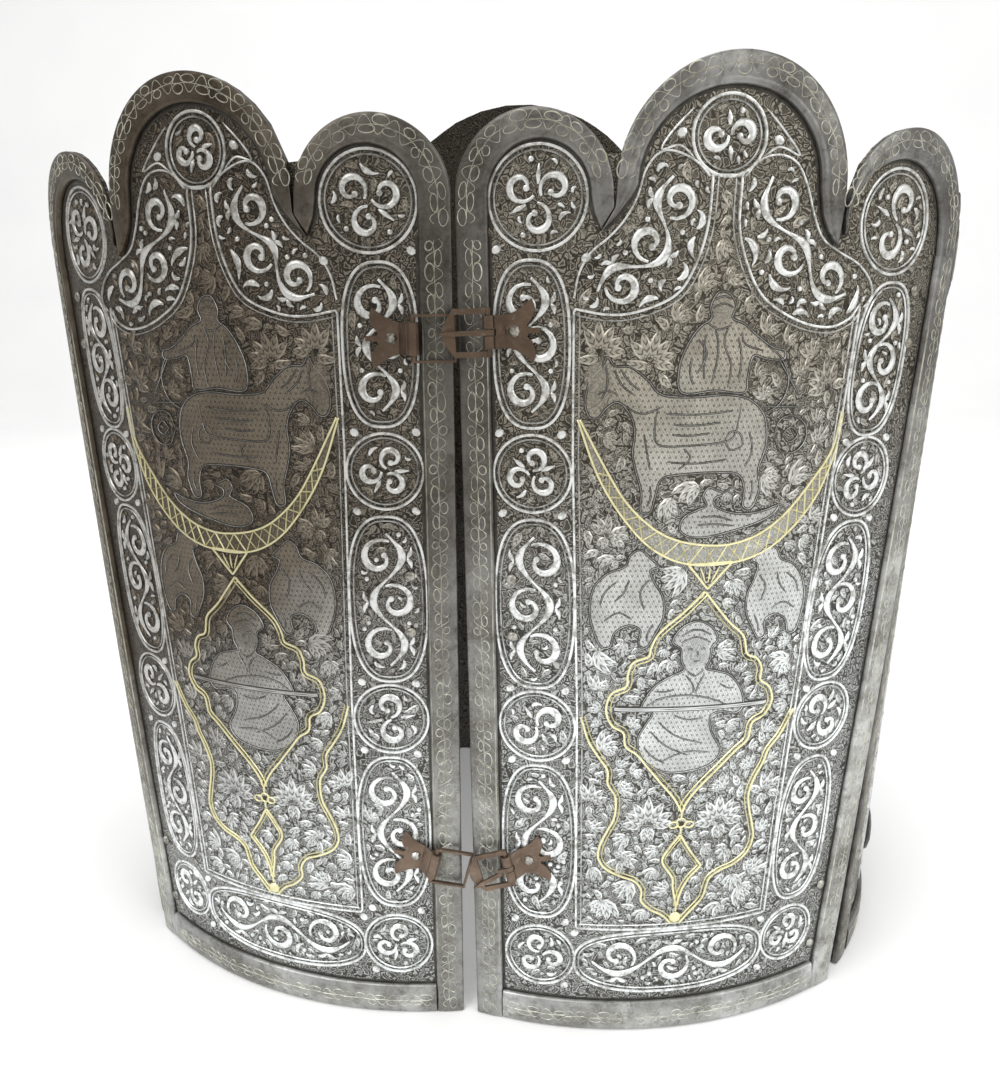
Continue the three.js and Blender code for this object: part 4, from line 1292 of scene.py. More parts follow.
def draw_shoulders(art, rng):
    """The two panels under the main lobe."""
    arcs = smooth(FIELD_FRAME[:7], steps=6)[::-1], smooth(FIELD_FRAME[17:], steps=6)
    for row, arc in zip(SHOULDERS, arcs):
        edge = smooth(row["edge"], steps=6)
        outline = np.vstack([edge, arc])
        sink_ground(art, outline)
        art.silver.stroke(resample(edge, step=1.2), 0.8, SILVER_RISE * 0.7)
        art.clear(edge, 1.2)
        vine(art, smooth(row["spine"]), row["reach"], rng)
        flourish(art, outline, rng, 1.8, 1.15)
    for row in SPANDRELS:
        art.silver.stroke(smooth(row, steps=5), 0.8, SILVER_RISE * 0.8, ends=0.1)
        art.clear(smooth(row), 0.8)


def draw_field_lines(art):
    """The silver frame of the field."""
    left, right = smooth(FIELD_FRAME[:7], steps=6), smooth(FIELD_FRAME[18:], steps=6)
    line = np.vstack([left, np.array(FIELD_FRAME[7:18], float), right])
    art.board.open(line)
    double_line(art, line, wide=FRAME_WIDE, thin=FRAME_THIN, gap=2.0)
    art.silver.stroke(resample(FIELD_CAP, step=2), 0.9, SILVER_RISE * 0.8)
    return line


def gold_line(art, path, gap=0.0, wide=1.0):
    """A gold line, with a thin one beside it where a gap is given."""
    path = resample(path, step=0.9)
    art.gold.stroke(path, wide, GOLD_RISE)
    art.clear(path, wide / 2 + CLEAR)
    if gap:
        other = path + normals(path) * gap
        art.gold.stroke(other, wide * 0.62, FINE_GOLD_RISE, RIDGE)
        art.clear(other, wide / 2 + CLEAR)


def draw_gold(art):
    """Crescent, pendant, medallion, bow, lozenge and brackets."""
    outer, inner = (resample(smooth(points), count=160) for points in (CRESCENT_OUTER, CRESCENT_INNER))
    inner = outer + (inner - outer) * 1.2
    gold_line(art, outer, wide=0.9)
    gold_line(art, inner, wide=0.9)
    band = np.vstack([outer, inner[::-1]])
    art.board.shape(band, 0.12, 0.5)
    art.board.close(band)
    a, b = resample(outer, count=33)[4:-4], resample(inner, count=33)[4:-4]
    for turn, wide in ((0, 0.7), (1, 0.45)):
        zigzag = np.empty((len(a), 2))
        zigzag[turn::2], zigzag[1 - turn :: 2] = a[turn::2], b[1 - turn :: 2]
        art.gold.stroke(resample(zigzag, step=0.9), wide, 0.44, RIDGE, 0.1)
    pendant = np.array(PENDANT + PENDANT[:1], float)
    art.board.close(pendant)
    gold_line(art, pendant)
    for share in (0.25, 0.5, 0.75):
        root = lerp(pendant[0], pendant[1], share)
        vein = lerp(root, pendant[2:3], np.array([[0.1], [0.8]]))
        art.gold.stroke(resample(vein, count=4), 0.7, FINE_GOLD_RISE, ends=0.3)
    gold_line(art, cusped(MEDALLION_LEFT), 1.7)
    gold_line(art, cusped(MEDALLION_RIGHT), -1.7)
    for place, tall in zip(TASSEL, (1.35, 2.0, 1.35)):
        loop = oval(place, 1.9, tall, power=2.0, count=18)
        art.gold.stroke(loop, 0.7, GOLD_RISE, closed=True)
        art.board.keep_clear(loop, 1.2)
    gold_line(art, [(84.1, 104.2), (84.1, 101)], wide=0.9)
    gold_line(art, [(84.1, 97.6), (84, 94)], wide=0.9)
    gold_line(art, cusped(LOZENGE), 1.3)
    gold_line(art, [(83.8, 59.5), (83.6, 57)], wide=0.9)
    art.gold.dot(KNOB, 2.5, 0.8, sides=14)
    art.board.keep_clear(np.array([KNOB]), 3.2)
    for path, gap in zip(BRACKETS, (1.5, -1.5)):
        gold_line(art, cusped(path), gap)


def cusped(points):
    """A curve with small corners kept where the points turn sharply."""
    p = np.asarray(points, float)
    a, b = p[1:-1] - p[:-2], p[2:] - p[1:-1]
    cosine = (a * b).sum(1) / (np.linalg.norm(a, axis=1) * np.linalg.norm(b, axis=1))
    breaks = [0] + [i + 1 for i, c in enumerate(cosine) if c < 0.55] + [len(p) - 1]
    runs = []
    for start, end in zip(breaks[:-1], breaks[1:]):
        run = p[start : end + 1]
        runs.append(smooth(run, steps=5) if len(run) > 2 else run)
    return np.vstack(runs)


# Plates

INNER_STEP = 4
INNER_TONE = 0.12
BODY_DROP = -0.02
GRID_EDGE = 0.05
FIELD_STEP = 1.35
SIDE_CUTS = 20, 42


def grid_marks(breaks, steps):
    """Marks from the first break to the last, with each stretch cut into a multiple of the inner step."""
    marks = [breaks[0]]
    for low, high, step in zip(breaks[:-1], breaks[1:], steps):
        count = max(1, round((high - low) / step / INNER_STEP)) * INNER_STEP
        marks.extend(lerp(low, high, np.arange(1, count + 1) / count))
    return np.array(marks)


def plate_body(name, art, s, z, thickness):
    """A plate whose outer face carries the board's relief; its inner face is coarser."""
    step = INNER_STEP
    rise, tone = blur(art.board.rise, 2), blur(art.board.tone, 1)
    h = sample(rise, art.board, s, z) + BODY_DROP
    outer = art.panel.at(s, z, h).reshape(-1, 3)
    inner_s, inner_z = s[::step, ::step], z[::step, ::step]
    inner = art.panel.at(inner_s, inner_z, inner_s * 0 - thickness).reshape(-1, 3)
    o = np.arange(s.size).reshape(s.shape)
    n = np.arange(inner_s.size).reshape(inner_s.shape) + s.size
    faces = np.stack([o[:-1, :-1], o[1:, :-1], o[1:, 1:], o[:-1, 1:]], -1).reshape(-1, 4).tolist()
    faces += np.stack([n[:-1, :-1], n[:-1, 1:], n[1:, 1:], n[1:, :-1]], -1).reshape(-1, 4).tolist()
    for i in range(n.shape[0] - 1):
        edge = o[i * step : (i + 1) * step + 1]
        faces.append([n[i, 0], n[i + 1, 0], *edge[::-1, 0]])
        faces.append([n[i + 1, -1], n[i, -1], *edge[:, -1]])
    for j in range(n.shape[1] - 1):
        edge = o[:, j * step : (j + 1) * step + 1]
        faces.append([n[0, j + 1], n[0, j], *edge[0]])
        faces.append([n[-1, j], n[-1, j + 1], *edge[-1, ::-1]])
    faces = art.panel.wound([[int(v) for v in f] for f in faces])
    piece = make_mesh(name, np.vstack([outer, inner]), faces, "chased_steel", 50.0)
    values = np.concatenate([sample(tone, art.board, s, z).ravel(), inner_s.ravel() * 0 + INNER_TONE])
    add_attribute(piece, "tone", "FLOAT", "value", values)
    flat_s = np.concatenate([s.ravel(), inner_s.ravel()])
    flat_z = np.concatenate([z.ravel(), inner_z.ravel()])
    add_attribute(piece, "flat_place", "FLOAT_VECTOR", "vector", np.stack([flat_s, flat_z, flat_s * 0], 1))
    return piece


def lobed_grid(u, v, levels, edges, reach, crest, corner_heights):
    """Stations between two leaning edges and under a lobed crest; reach holds the ends of the crest."""
    first, last = edges
    top = np.empty(len(u))
    for i, share in enumerate(u):
        line = np.clip(lerp(first(levels), last(levels), share), *reach)
        top[i] = levels[int(np.argmax(crest(line) <= levels))]
    top[0], top[-1] = corner_heights
    z = top[:, None] * v[None, :]
    s = lerp(first(z), last(z), u[:, None])
    return np.clip(s, reach[0] + GRID_EDGE, reach[1] - GRID_EDGE), z


def front_grid():
    """Stations of a front plate: fine over the field, coarser under the rims."""
    u = grid_marks([0, 0.2, 0.8, 1], [0.014, 0.0046 * FIELD_STEP, 0.014])
    v = grid_marks([0, 0.13, 0.84, 1], [0.008, 0.0022 * FIELD_STEP, 0.005])
    reach = FRONT_INNER_TOP[0], FRONT_OUTER_TOP[0]
    corners = FRONT_INNER_TOP[1] + 10.8, FRONT_OUTER_TOP[1] + 10.5
    levels = np.linspace(300, 385, 1700)
    return lobed_grid(u, v, levels, (front_inner, front_outer), reach, front_top, corners)


def side_grid():
    """Stations of a side plate, up to its arm hollow."""
    u, v = (np.linspace(0, 1, cuts * INNER_STEP + 1) for cuts in SIDE_CUTS)
    z = arm_line(u * SIDE_LENGTH)[:, None] * v[None, :]
    return lerp(GRID_EDGE, SIDE_LENGTH - GRID_EDGE, u[:, None]) + z * 0, z


# The back plate, measured from its middle

BACK_LOBES = ((-176.0, -79.2, 316.0, 36.0), (-78.2, 78.2, 324.8, 78.2), (79.2, 176.0, 316.0, 36.0))
BACK_SLITS = ((-78.7, 310.0), (78.7, 310.0))


def back_top(s):
    return crest_height(s, BACK_LOBES, BACK_SLITS)


def back_start(z):
    return -back_edge(z)


def back_grid():
    """Stations of the back plate."""
    lobe = (1 - np.cos(np.linspace(0, np.pi, 40))) / 2 * 0.275
    u = np.unique(np.concatenate([np.linspace(0, 1, 101), lobe, 1 - lobe]))
    u = u[np.concatenate([[True], np.diff(u) > 0.0012])]
    u[-1] = 1.0
    extra = (-len(u) + 1) % INNER_STEP
    u = np.sort(np.concatenate([u, 0.4 + 0.2 * (np.arange(extra) + 0.37) / max(extra, 1)]))
    v = np.linspace(0, 1, 125)
    reach = -BACK_TOP[0], BACK_TOP[0]
    levels = np.linspace(290, 406, 2200)
    corner = BACK_LOBES[0][2]
    return lobed_grid(u, v, levels, (back_start, back_edge), reach, back_top, (corner, corner))


def draw_band(art, spine, half_width, rng, first_round=True):
    """Ovals and roundels in turn along a path, with studs between them."""
    spine = resample(spine, step=1.0)
    length = len(spine) - 1.0 - half_width * 2 * first_round
    pitch = half_width * 2 + half_width * 4.6
    cells = max(1, round(length / pitch))
    scale = length / (cells * pitch)
    round_r, oval_h = half_width * 0.96 * scale, half_width * 2.3 * scale
    side = normals(spine)
    last = len(spine) - 1
    mark = 0.0
    for k in range(cells * 2 + first_round):
        is_round = (k % 2 == 0) == first_round
        reach = round_r if is_round else oval_h
        i = int(np.clip(mark + reach, 0, last))
        centre = spine[i]
        ds, dz = spine[min(i + 2, last)] - spine[max(i - 2, 0)]
        if is_round:
            roundel(art, centre, min(round_r, half_width) - 0.3, rng)
        elif abs(dz) > abs(ds):
            cartouche(art, centre, half_width, oval_h - 0.4, ds / dz, rng)
        else:
            tilted_cartouche(art, centre, half_width, oval_h - 0.4, math.atan2(dz, ds), rng)
        mark += reach * 2
        j = int(np.clip(mark, 0, last))
        for hand in (1, -1):
            silver_dot(art, spine[j] + side[j] * hand * half_width * 0.82, 1.4)


def draw_field(art, field, gap, centre, *medallions):
    """The frame of a plain field and the gold medallions in its middle."""
    art.board.open(field)
    double_line(art, field, closed=True, wide=FRAME_WIDE, thin=FRAME_THIN, gap=gap)
    for half_width, half_height in medallions:
        lobed_medallion(art, centre, half_width, half_height)


def lobed_medallion(art, centre, half_width, half_height):
    """A gold medallion with eight lobes and pointed ends."""
    turn = np.linspace(0, 2 * np.pi, 121)
    lobes = 1 + 0.07 * np.abs(np.sin(4 * turn)) - 0.05
    point = 1 + 0.22 * np.exp(-((np.abs(np.abs(turn - np.pi) - np.pi / 2) / 0.22) ** 2))
    x, y = half_width * lobes * np.cos(turn), half_height * lobes * point * np.sin(turn)
    path = np.stack([centre[0] + x, centre[1] + y], 1)
    line = resample(path, step=1.1)
    art.gold.stroke(line, 0.95, GOLD_RISE, closed=True)
    inner = np.array(centre) + (line - np.array(centre)) * (1 - 1.9 / half_width)
    art.gold.stroke(inner, 0.6, FINE_GOLD_RISE, RIDGE, closed=True)
    art.clear(path, 1.3)
    art.clear(inner, 1.0)


# Settings


class CuirassSizes(bpy.types.PropertyGroup):
    """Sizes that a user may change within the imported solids."""

    plate_thickness: bpy.props.FloatProperty(
        name="Plate thickness", description="Steel left behind the relief", default=1.6 * MM, unit="LENGTH")
    rim_thickness: bpy.props.FloatProperty(
        name="Rim thickness", description="Height of the rims above their seat", default=2.15 * MM,
        unit="LENGTH")
    rim_width: bpy.props.FloatProperty(
        name="Rim width", description="Width of the straight rims", default=11.5 * MM, unit="LENGTH")
    rivet_radius: bpy.props.FloatProperty(
        name="Rivet radius", description="Radius of a rivet's head", default=2.1 * MM, unit="LENGTH")
    leaf_count: bpy.props.IntProperty(
        name="Leaves tried", description="Places tried for each size of leaf", default=1500)
    seed: bpy.props.IntProperty(name="Seed", description="Start of the foliage's random draws", default=7)


def colour_property(label, text, default):
    return bpy.props.FloatVectorProperty(
        name=label, description=text, default=default, subtype="COLOR", min=0, max=1)


class CuirassColours(bpy.types.PropertyGroup):
    """Colours as seen on a screen."""

    ground: colour_property("Ground", "Steel of the sunk ground", (0.5, 0.495, 0.48))
    leaf: colour_property("Foliage", "Light steel of the leaves", (0.88, 0.89, 0.89))
    rim: colour_property("Rims", "Steel of the rims", (0.84, 0.84, 0.835))
    silver: colour_property("Silver", "Inlaid silver lines", (0.97, 0.975, 0.975))
    rim_silver: colour_property("Rim silver", "Dull silver loops on the rims", (0.86, 0.855, 0.79))
    gold: colour_property("Gold", "Inlaid gold lines", (0.95, 0.92, 0.74))
    buckle: colour_property("Buckles", "Brown patina of the buckles", (0.5, 0.43, 0.37))
    rivet: colour_property("Rivets", "Rubbed steel of the rivet heads", (0.78, 0.77, 0.74))
    leather: colour_property("Leather", "Old strap leather", (0.27, 0.18, 0.12))


def sizes():
    return bpy.context.scene.cuirass_sizes


def start_plate(name, low, high, seed):
    """An empty drawing of a plate, with its own draws."""
    return Art(name, low, high), np.random.default_rng(sizes().seed + seed)


def finish_plate(name, art, grid, field, area, rng_seed, sprays, largest, fine=1.0):
    """Makes a plate's body, grows its foliage and makes what is raised on it."""
    body = plate_body(name + "_body", art, *grid, sizes().plate_thickness / MM)
    seated(body, "plate_steel", name + "_plate")
    rng = np.random.default_rng(rng_seed)
    for outline, seat in ((field, 0.0), (np.array(area, float), GROUND_RISE)):
        art.seat = seat
        grow(art, outline, rng, rng_seed * 0.7, sprays, sizes().leaf_count, largest, fine)
    for relief, part, material in (
        (art.leaves, "foliage", "leaf_steel"), (art.silver, "silver", "silver_inlay"),
        (art.dark, "engraving", "engraved_line"), (art.gold, "gold", "gold_inlay"),
    ):
        if relief.count:
            relief.build(f"{name}_{part}", material, "plate_steel")


# Operators


class CUIRASS_OT_finishes(bpy.types.Operator):
    """Makes the materials."""

    bl_idname = "cuirass.finishes"
    bl_label = "Finishes"

    def execute(self, context):
        for make in MAKERS:
            make()
        return {"FINISHED"}


MAKERS = (
    make_plate_steel, make_leaf_steel, make_engraving_and_painted_shadow, make_rim_steel, make_silver, make_rim_silver,
    make_gold, make_buckle_steel, make_rivet_steel, make_boss_steel, make_leather, make_thread,
)


class CUIRASS_OT_front_plates(bpy.types.Operator):
    """Makes the two front plates with their silver, gold and foliage."""

    bl_idname = "cuirass.front_plates"
    bl_label = "Front plates"

    def execute(self, context):
        for side, seed in (("right", 1), ("left", 2)):
            name = "front_" + side
            art, rng = start_plate(name, (-6, -2), (204, 384), seed)
            draw_shoulders(art, rng)
            draw_border(art, rng)
            field = draw_field_lines(art)
            draw_gold(art)
            draw_figures(art)
            finish_plate(name, art, front_grid(), field, FRONT_AREA, seed, 260, 15.0)
        return {"FINISHED"}


FRONT_AREA = ((-4, 0), (172, 0), (202, 383), (-6, 383))


class CUIRASS_OT_side_plates(bpy.types.Operator):
    """Makes the two side plates with plain rows of ovals and a leafy field."""

    bl_idname = "cuirass.side_plates"
    bl_label = "Side plates"

    def execute(self, context):
        for side, seed in (("right", 3), ("left", 4)):
            name = "side_" + side
            art, rng = start_plate(name, (-2, -2), (158, 344), seed)
            half = 11.5
            near = sizes().rim_width / MM + half + 2.0
            far = SIDE_LENGTH - near
            low = BOTTOM_RIM + half + 2.0
            for s in (near, far):
                draw_band(art, [(s, low + half + 3), (s, arm_line(s) - 2 * half - 19)], half, rng)
            draw_band(art, level(near + half + 2, far - half - 2, low - 1), half - 1, rng, False)
            top = np.linspace(near - 4, far + 4, 40)
            draw_band(art, np.stack([top, arm_line(top) - 26.5], 1), half, rng, False)
            field = side_field(near + half + 3, far - half - 3, low + half + 3)
            draw_field(art, field, 1.9, (SIDE_LENGTH / 2, 165.0), (27.0, 48.0), (13.0, 24.0))
            area = level(0, SIDE_LENGTH, 0) + level(SIDE_LENGTH, 0, 343)
            finish_plate(name, art, side_grid(), field, area, seed + 10, 150, 20.0, 1.5)
        return {"FINISHED"}


def side_field(low_s, high_s, low_z):
    """The field outline of a side plate."""
    top = np.linspace(high_s, low_s, 24)
    crest = np.stack([top, arm_line(top) - 40.0], 1)
    return np.vstack([level(low_s, high_s, low_z), crest, [(low_s, low_z)]])


class CUIRASS_OT_back_plate(bpy.types.Operator):
    """Makes the back plate with bands of ovals and a medallion."""

    bl_idname = "cuirass.back_plate"
    bl_label = "Back plate"

    def execute(self, context):
        art, rng = start_plate("back", (-180, -2), (180, 408), 5)
        half = 13.5
        edge = sizes().rim_width / MM + half + 2.0
        low = BOTTOM_RIM + half + 2.0
        for hand in (-1, 1):
            spine = [(hand * (back_edge(low) - edge), low), (hand * (back_edge(300) - edge), 312)]
            draw_band(art, spine, half, rng)
            roundel(art, (hand * 127.0, 324.0), 15.0, rng)
        reach = BACK_HALF - edge - half - 3
        draw_band(art, level(-reach, reach, low - 1), half - 0.5, rng, False)
        field = back_field()
        draw_field(art, field, 2.0, (0.0, 190.0), (52.0, 78.0), (24.0, 38.0))
        area = level(-178, 178, 0) + level(178, -178, 407)
        finish_plate("back", art, back_grid(), field, area, 21, 300, 27.0, 2.0)
        return {"FINISHED"}


def back_field():
    """The field outline of the back plate, with a pointed arch on top."""
    low, side = 45.0, 130.0
    half = [(side, low), (side + 5, 290), (100, 297), (84, 306), (72, 322), (50, 352), (20, 374), (0, 384)]
    line = smooth(half[1:], steps=5)
    mirrored = line[::-1] * np.array([-1, 1])
    return np.vstack([[(-side, low), (side, low)], line, mirrored, [(-side, low)]])


class CUIRASS_OT_rims(bpy.types.Operator):
    """Makes every rim with its fine silver loops."""

    bl_idname = "cuirass.rims"
    bl_label = "Rims"

    def execute(self, context):
        width, thick = sizes().rim_width / MM, sizes().rim_thickness / MM
        for side in ("right", "left"):
            front_rims("front_" + side, width, thick)
            flank_rims("side_" + side, width, thick)
        back_rims(width, thick)
        return {"FINISHED"}


def foot_rim(name, start, end, count):
    rim_band(f"{name}_foot_rim", name, level(start, end, BOTTOM_RIM), level(start, end, EDGE_GAP), count,
             name + "_bottom_rim")


def foot_scroll(scroll, start, end, thick):
    rim_scroll(scroll, level(start, end, BOTTOM_RIM * SCROLL_LINE), BOTTOM_RIM * 0.23, thick)


def crest_rims(name, curves, count):
    """The rims of a crest; the middle one stands for the crest's solid."""
    for k, (inner, outer) in enumerate(curves):
        nodes = [name + "_top_rim"] if k == 1 else []
        rim_band(f"{name}_crest_{k + 1}", name, inner, outer, count, *nodes)


def front_rims(name, width, thick):
    z = np.array([0.0, FRONT_INNER_TOP[1] + JOINT])
    near = np.stack([front_inner(z) + EDGE_GAP, z], 1)
    rim_band(name + "_gap_rim", name, near + [width, 0], near, 24, name + "_inner_rim")
    z = np.array([0.0, FRONT_OUTER_TOP[1] + JOINT])
    far = np.stack([front_outer(z) - EDGE_GAP, z], 1)
    rim_band(name + "_side_rim", name, far - [width, 0], far, 24, name + "_outer_rim")
    low, high = width + RIM_SEAT, FRONT_FOOT - width - RIM_SEAT
    foot_rim(name, low, high, 70)
    crest = front_crest()
    crest_rims(name, crest, 90)
    # painted shadow: dark strokes along the inner edges of the rims, where their step shades the plate
    painted_rim_shadow = Relief(PANELS[name])
    inner_lines = [inner for inner, _ in crest]
    for line in (near + [width, 0], far - [width, 0], level(low, high, BOTTOM_RIM), *inner_lines):
        painted_rim_shadow.stroke(resample(line, step=3), 2.4, 0.08, FLAT)
    painted_rim_shadow.build(name + "_grime", "engraved_line", "plate_steel")
    scroll = Relief(PANELS[name])
    rim_scroll(scroll, near + [width * 0.54, 0], width * 0.29, thick)
    rim_scroll(scroll, far - [width * SCROLL_LINE, 0], width * 0.28, thick)
    for line in (near + [width * 0.93, 0], far - [width * 0.93, 0]):
        scroll.stroke(resample(line, count=12), 0.5, 0.3, RIDGE, RIM_SEAT + thick * 0.84)
    foot_scroll(scroll, low, high, thick)
    for (inner, outer), (skip, stop) in zip(crest, ((0, 107), (13, 107), (13, 120))):
        middle = lerp(resample(inner, count=120), resample(outer, count=120), 0.6)
        rim_scroll(scroll, middle[skip:stop], width * 0.29, thick)
    scroll.build(name + "_rim_scroll", "rim_silver", "rim_steel")


def flank_rims(name, width, thick):
    t = np.array([0.0, 1.0])
    for part, edge, hand in (("front", 0.0, 1), ("rear", SIDE_LENGTH, -1)):
        outer, inner = (
            np.stack([t * 0 + edge + hand * inset, t * arm_line(edge + hand * reach)], 1)
            for inset, reach in ((EDGE_GAP, 0), (width, width))
        )
        rim_band(f"{name}_{part}_edge_rim", name, inner, outer, 24, f"{name}_{part}_rim")
    low, high = width + RIM_SEAT, SIDE_LENGTH - width - RIM_SEAT
    foot_rim(name, low, high, 60)
    s = np.linspace(low, high, 60)
    crest = np.stack([s, arm_line(s) - EDGE_GAP], 1)
    rim_band(name + "_arm_rim", name, crest - [0, width], crest, 60, name + "_top_rim")
    scroll = Relief(PANELS[name])
    for s in (width * SCROLL_LINE, SIDE_LENGTH - width * SCROLL_LINE):
        rim_scroll(scroll, [(s, 2), (s, arm_line(s) - 4)], width * 0.25, thick)
    foot_scroll(scroll, low, high, thick)
    rim_scroll(scroll, crest - [0, width * SCROLL_LINE], width * 0.25, thick)
    scroll.build(name + "_rim_scroll", "rim_silver", "rim_steel")


def back_rims(width, thick):
    scroll = Relief(PANELS["back"])
    z = np.array([0.0, BACK_TOP[1] + JOINT])
    for part, hand in (("right", -1), ("left", 1)):
        edge = np.stack([hand * (back_edge(z) - EDGE_GAP), z], 1)
        rim_band(f"back_{part}_edge_rim", "back", edge - [hand * width, 0], edge, 24, f"back_{part}_rim")
        rim_scroll(scroll, edge - [hand * width * SCROLL_LINE, 0], width * 0.25, thick)
    reach = BACK_HALF - width - RIM_SEAT
    foot_rim("back", -reach, reach, 110)
    foot_scroll(scroll, -reach, reach, thick)
    crest_rims("back", back_crest(), 110)
    for inner, outer in back_crest():
        middle = lerp(resample(inner, count=140), resample(outer, count=140), 0.55)
        rim_scroll(scroll, middle[8:-8], width * 0.25, thick)
    scroll.build("back_rim_scroll", "rim_silver", "rim_steel")


def contour(first, curve, last):
    """A line through the first points, an arch and the last points."""
    return np.vstack([first, arch(*curve), last])


def front_crest():
    """Inner and outer contours of the three crest rims of a front plate."""
    start, end = FRONT_INNER_TOP[0] + EDGE_GAP, FRONT_OUTER_TOP[0] - EDGE_GAP
    first_z, last_z = FRONT_INNER_TOP[1] + JOINT, FRONT_OUTER_TOP[1] + JOINT
    return (
        (contour([(8.9, first_z)], (8.9, 43.3, 335.8, 17.2), [(44.4, 330), (46.6, 325)]),
         contour([(start, first_z)], (start, 50.7, 335.8, 26.68), [(50.9, 331.8)])),
        (contour([(47.1, 324.2), (51.6, 328.8), (56.2, 334.5)], (58.4, 121.4, 338.1, 30.0),
                 [(123, 329.5), (125.6, 324), (129.4, 319.4)]),
         contour([(46.8, 324), (51.2, 331.6)], (51.5, 131.3, 338.1, 39.88), [(131.5, 334), (129.6, 319)])),
        (contour([(131.7, 328.4)], (132.4, 184.5, 322.5, 25.5), [(184.9, last_z)]),
         contour([(131.9, 333.6)], (132.1, end, 326.5, 31.98), [(end, last_z)])),
    )


def back_crest():
    """Inner and outer contours of the three crest rims of the back plate."""
    end, low_z = BACK_TOP[0] - EDGE_GAP, BACK_TOP[1] + JOINT
    side = (
        contour([(-164.9, low_z)], (-164.5, -86, 312, 28), [(-79.5, 303)]),
        contour([(-end, low_z)], (-end, -79.2, 316, 35.98), [(-78.9, 310.3)]),
    )
    middle = (
        contour([(-73.8, 297.2), (-69.5, 309)], (-66.7, 66.7, 324.8, 66.7), [(69.5, 309), (73.8, 297.2)]),
        contour([(-74.2, 297), (-78.5, 310)], (-78.2, 78.2, 324.8, 78.15), [(78.5, 310), (74.2, 297)]),
    )
    return side, middle, [line[::-1] * [-1, 1] for line in side]


FRONT_RIVETS = {
    "upper": ((173, 304), (173, 285)), "lower": ((155.3, 53.5), (152.3, 24)),
    "border": ((16.2, 201.6), (16.6, 178.6)),
}
STRAP_RIVET_HEIGHTS = (304, 285, 53.5, 24)
RIVET_INSET = 16.5
RIVET_DEPTHS = {"upper": 6.0, "lower": 6.0, "border": 3.0}


class CUIRASS_OT_rivets(bpy.types.Operator):
    """Makes the rivets, with the domed heads of those that hold the straps to every plate."""

    bl_idname = "cuirass.rivets"
    bl_label = "Rivets"

    def execute(self, context):
        deep = RIVET_DEPTHS["upper"]
        for side, hand in (("right", -1), ("left", 1)):
            front, flank = "front_" + side, "side_" + side
            for row, spots in FRONT_RIVETS.items():
                for k, (s, z) in enumerate(spots):
                    node = f"{front}_{row}_rivet_{k + 1}"
                    rivet(node + "_head", front, s, z, RIVET_DEPTHS[row], node)
            for z in STRAP_RIVET_HEIGHTS:
                for s in (RIVET_INSET, SIDE_LENGTH - RIVET_INSET):
                    rivet(f"{flank}_rivet_{int(z)}_{int(s)}", flank, s, z, deep)
                rivet(f"back_{side}_rivet_{int(z)}", "back", hand * (back_edge(z) - RIVET_INSET), z, deep)
        return {"FINISHED"}


def rivet(name, panel_name, s, z, depth, *nodes):
    """A rivet with a hammered head outside and a flat tail inside."""
    panel = PANELS[panel_name]
    radius = sizes().rivet_radius / MM
    point, out, along = panel.frame(np.array(s, float), np.array(z, float))
    up = np.array([0.0, 0.0, 1.0])
    head = ((1.0, 0.0), (0.98, 0.3), (0.82, 0.75), (0.5, 1.02), (0.0, 1.1))
    profile = [(0.0, -depth - 0.3), (1.4, -depth - 0.3), (1.8, -depth), (1.0, -depth), (1.0, RIM_SEAT)]
    profile += [(radius * share, RIM_SEAT + h) for share, h in head]
    sides = 20
    turn = np.linspace(0, 2 * np.pi, sides, endpoint=False)[:, None]
    spokes = np.cos(turn) * along + np.sin(turn) * up
    points = [point + out * h + spokes * max(r, 0.02) for r, h in profile]
    faces = []
    for i in range(0, (len(profile) - 1) * sides, sides):
        for j in range(sides):
            k = (j + 1) % sides
            faces.append([i + j, i + k, i + sides + k, i + sides + j])
    faces.append(list(range(sides))[::-1])
    faces.append([(len(profile) - 1) * sides + j for j in range(sides)])
    piece = make_mesh(name, np.vstack(points) * MM, panel.wound(faces), "rivet_finish", 35.0)
    seated(piece, "rivet_steel", *nodes)


class CUIRASS_OT_buckles(bpy.types.Operator):
    """Dresses the two buckles."""

    bl_idname = "cuirass.buckles"
    bl_label = "Buckles"

    def execute(self, context):
        for name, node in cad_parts.items():
            if name.startswith("buckle_"):
                dress(node, "rivet_finish" if name.endswith("_rivet") else "buckle_finish", 0.25)
        return {"FINISHED"}


def dress(node, material, width):
    """Gives a kept solid its finish and slightly rounded edges."""
    node.data.materials.clear()
    node.data.materials.append(bpy.data.materials[material])
    bevel = node.modifiers.new("rounded_edges", "BEVEL")
    bevel.width = width * MM
    bevel.segments = 2
    bevel.limit_method = "ANGLE"
    bevel.angle_limit = math.radians(BEVEL_ANGLE)


STRAP_LEVELS = {"upper": (275.0, 314.0), "lower": (16.0, 62.0)}
STRAP_THICK = 2.4
STRAP_REACH = 25.0
STRAP_SEAT = -1.9
SEAM_INSET = 3.2
STITCH = 3.1


def tube_faces(rows, cols, base=0):
    """Quads round a tube of sections, with a cap at each end."""
    index = np.arange(rows * cols).reshape(rows, cols) + base
    turned = np.roll(index, -1, axis=1)
    faces = np.stack([index[:-1], index[1:], turned[1:], turned[:-1]], -1).reshape(-1, 4).tolist()
    return faces + [index[0].tolist(), index[-1][::-1].tolist()]


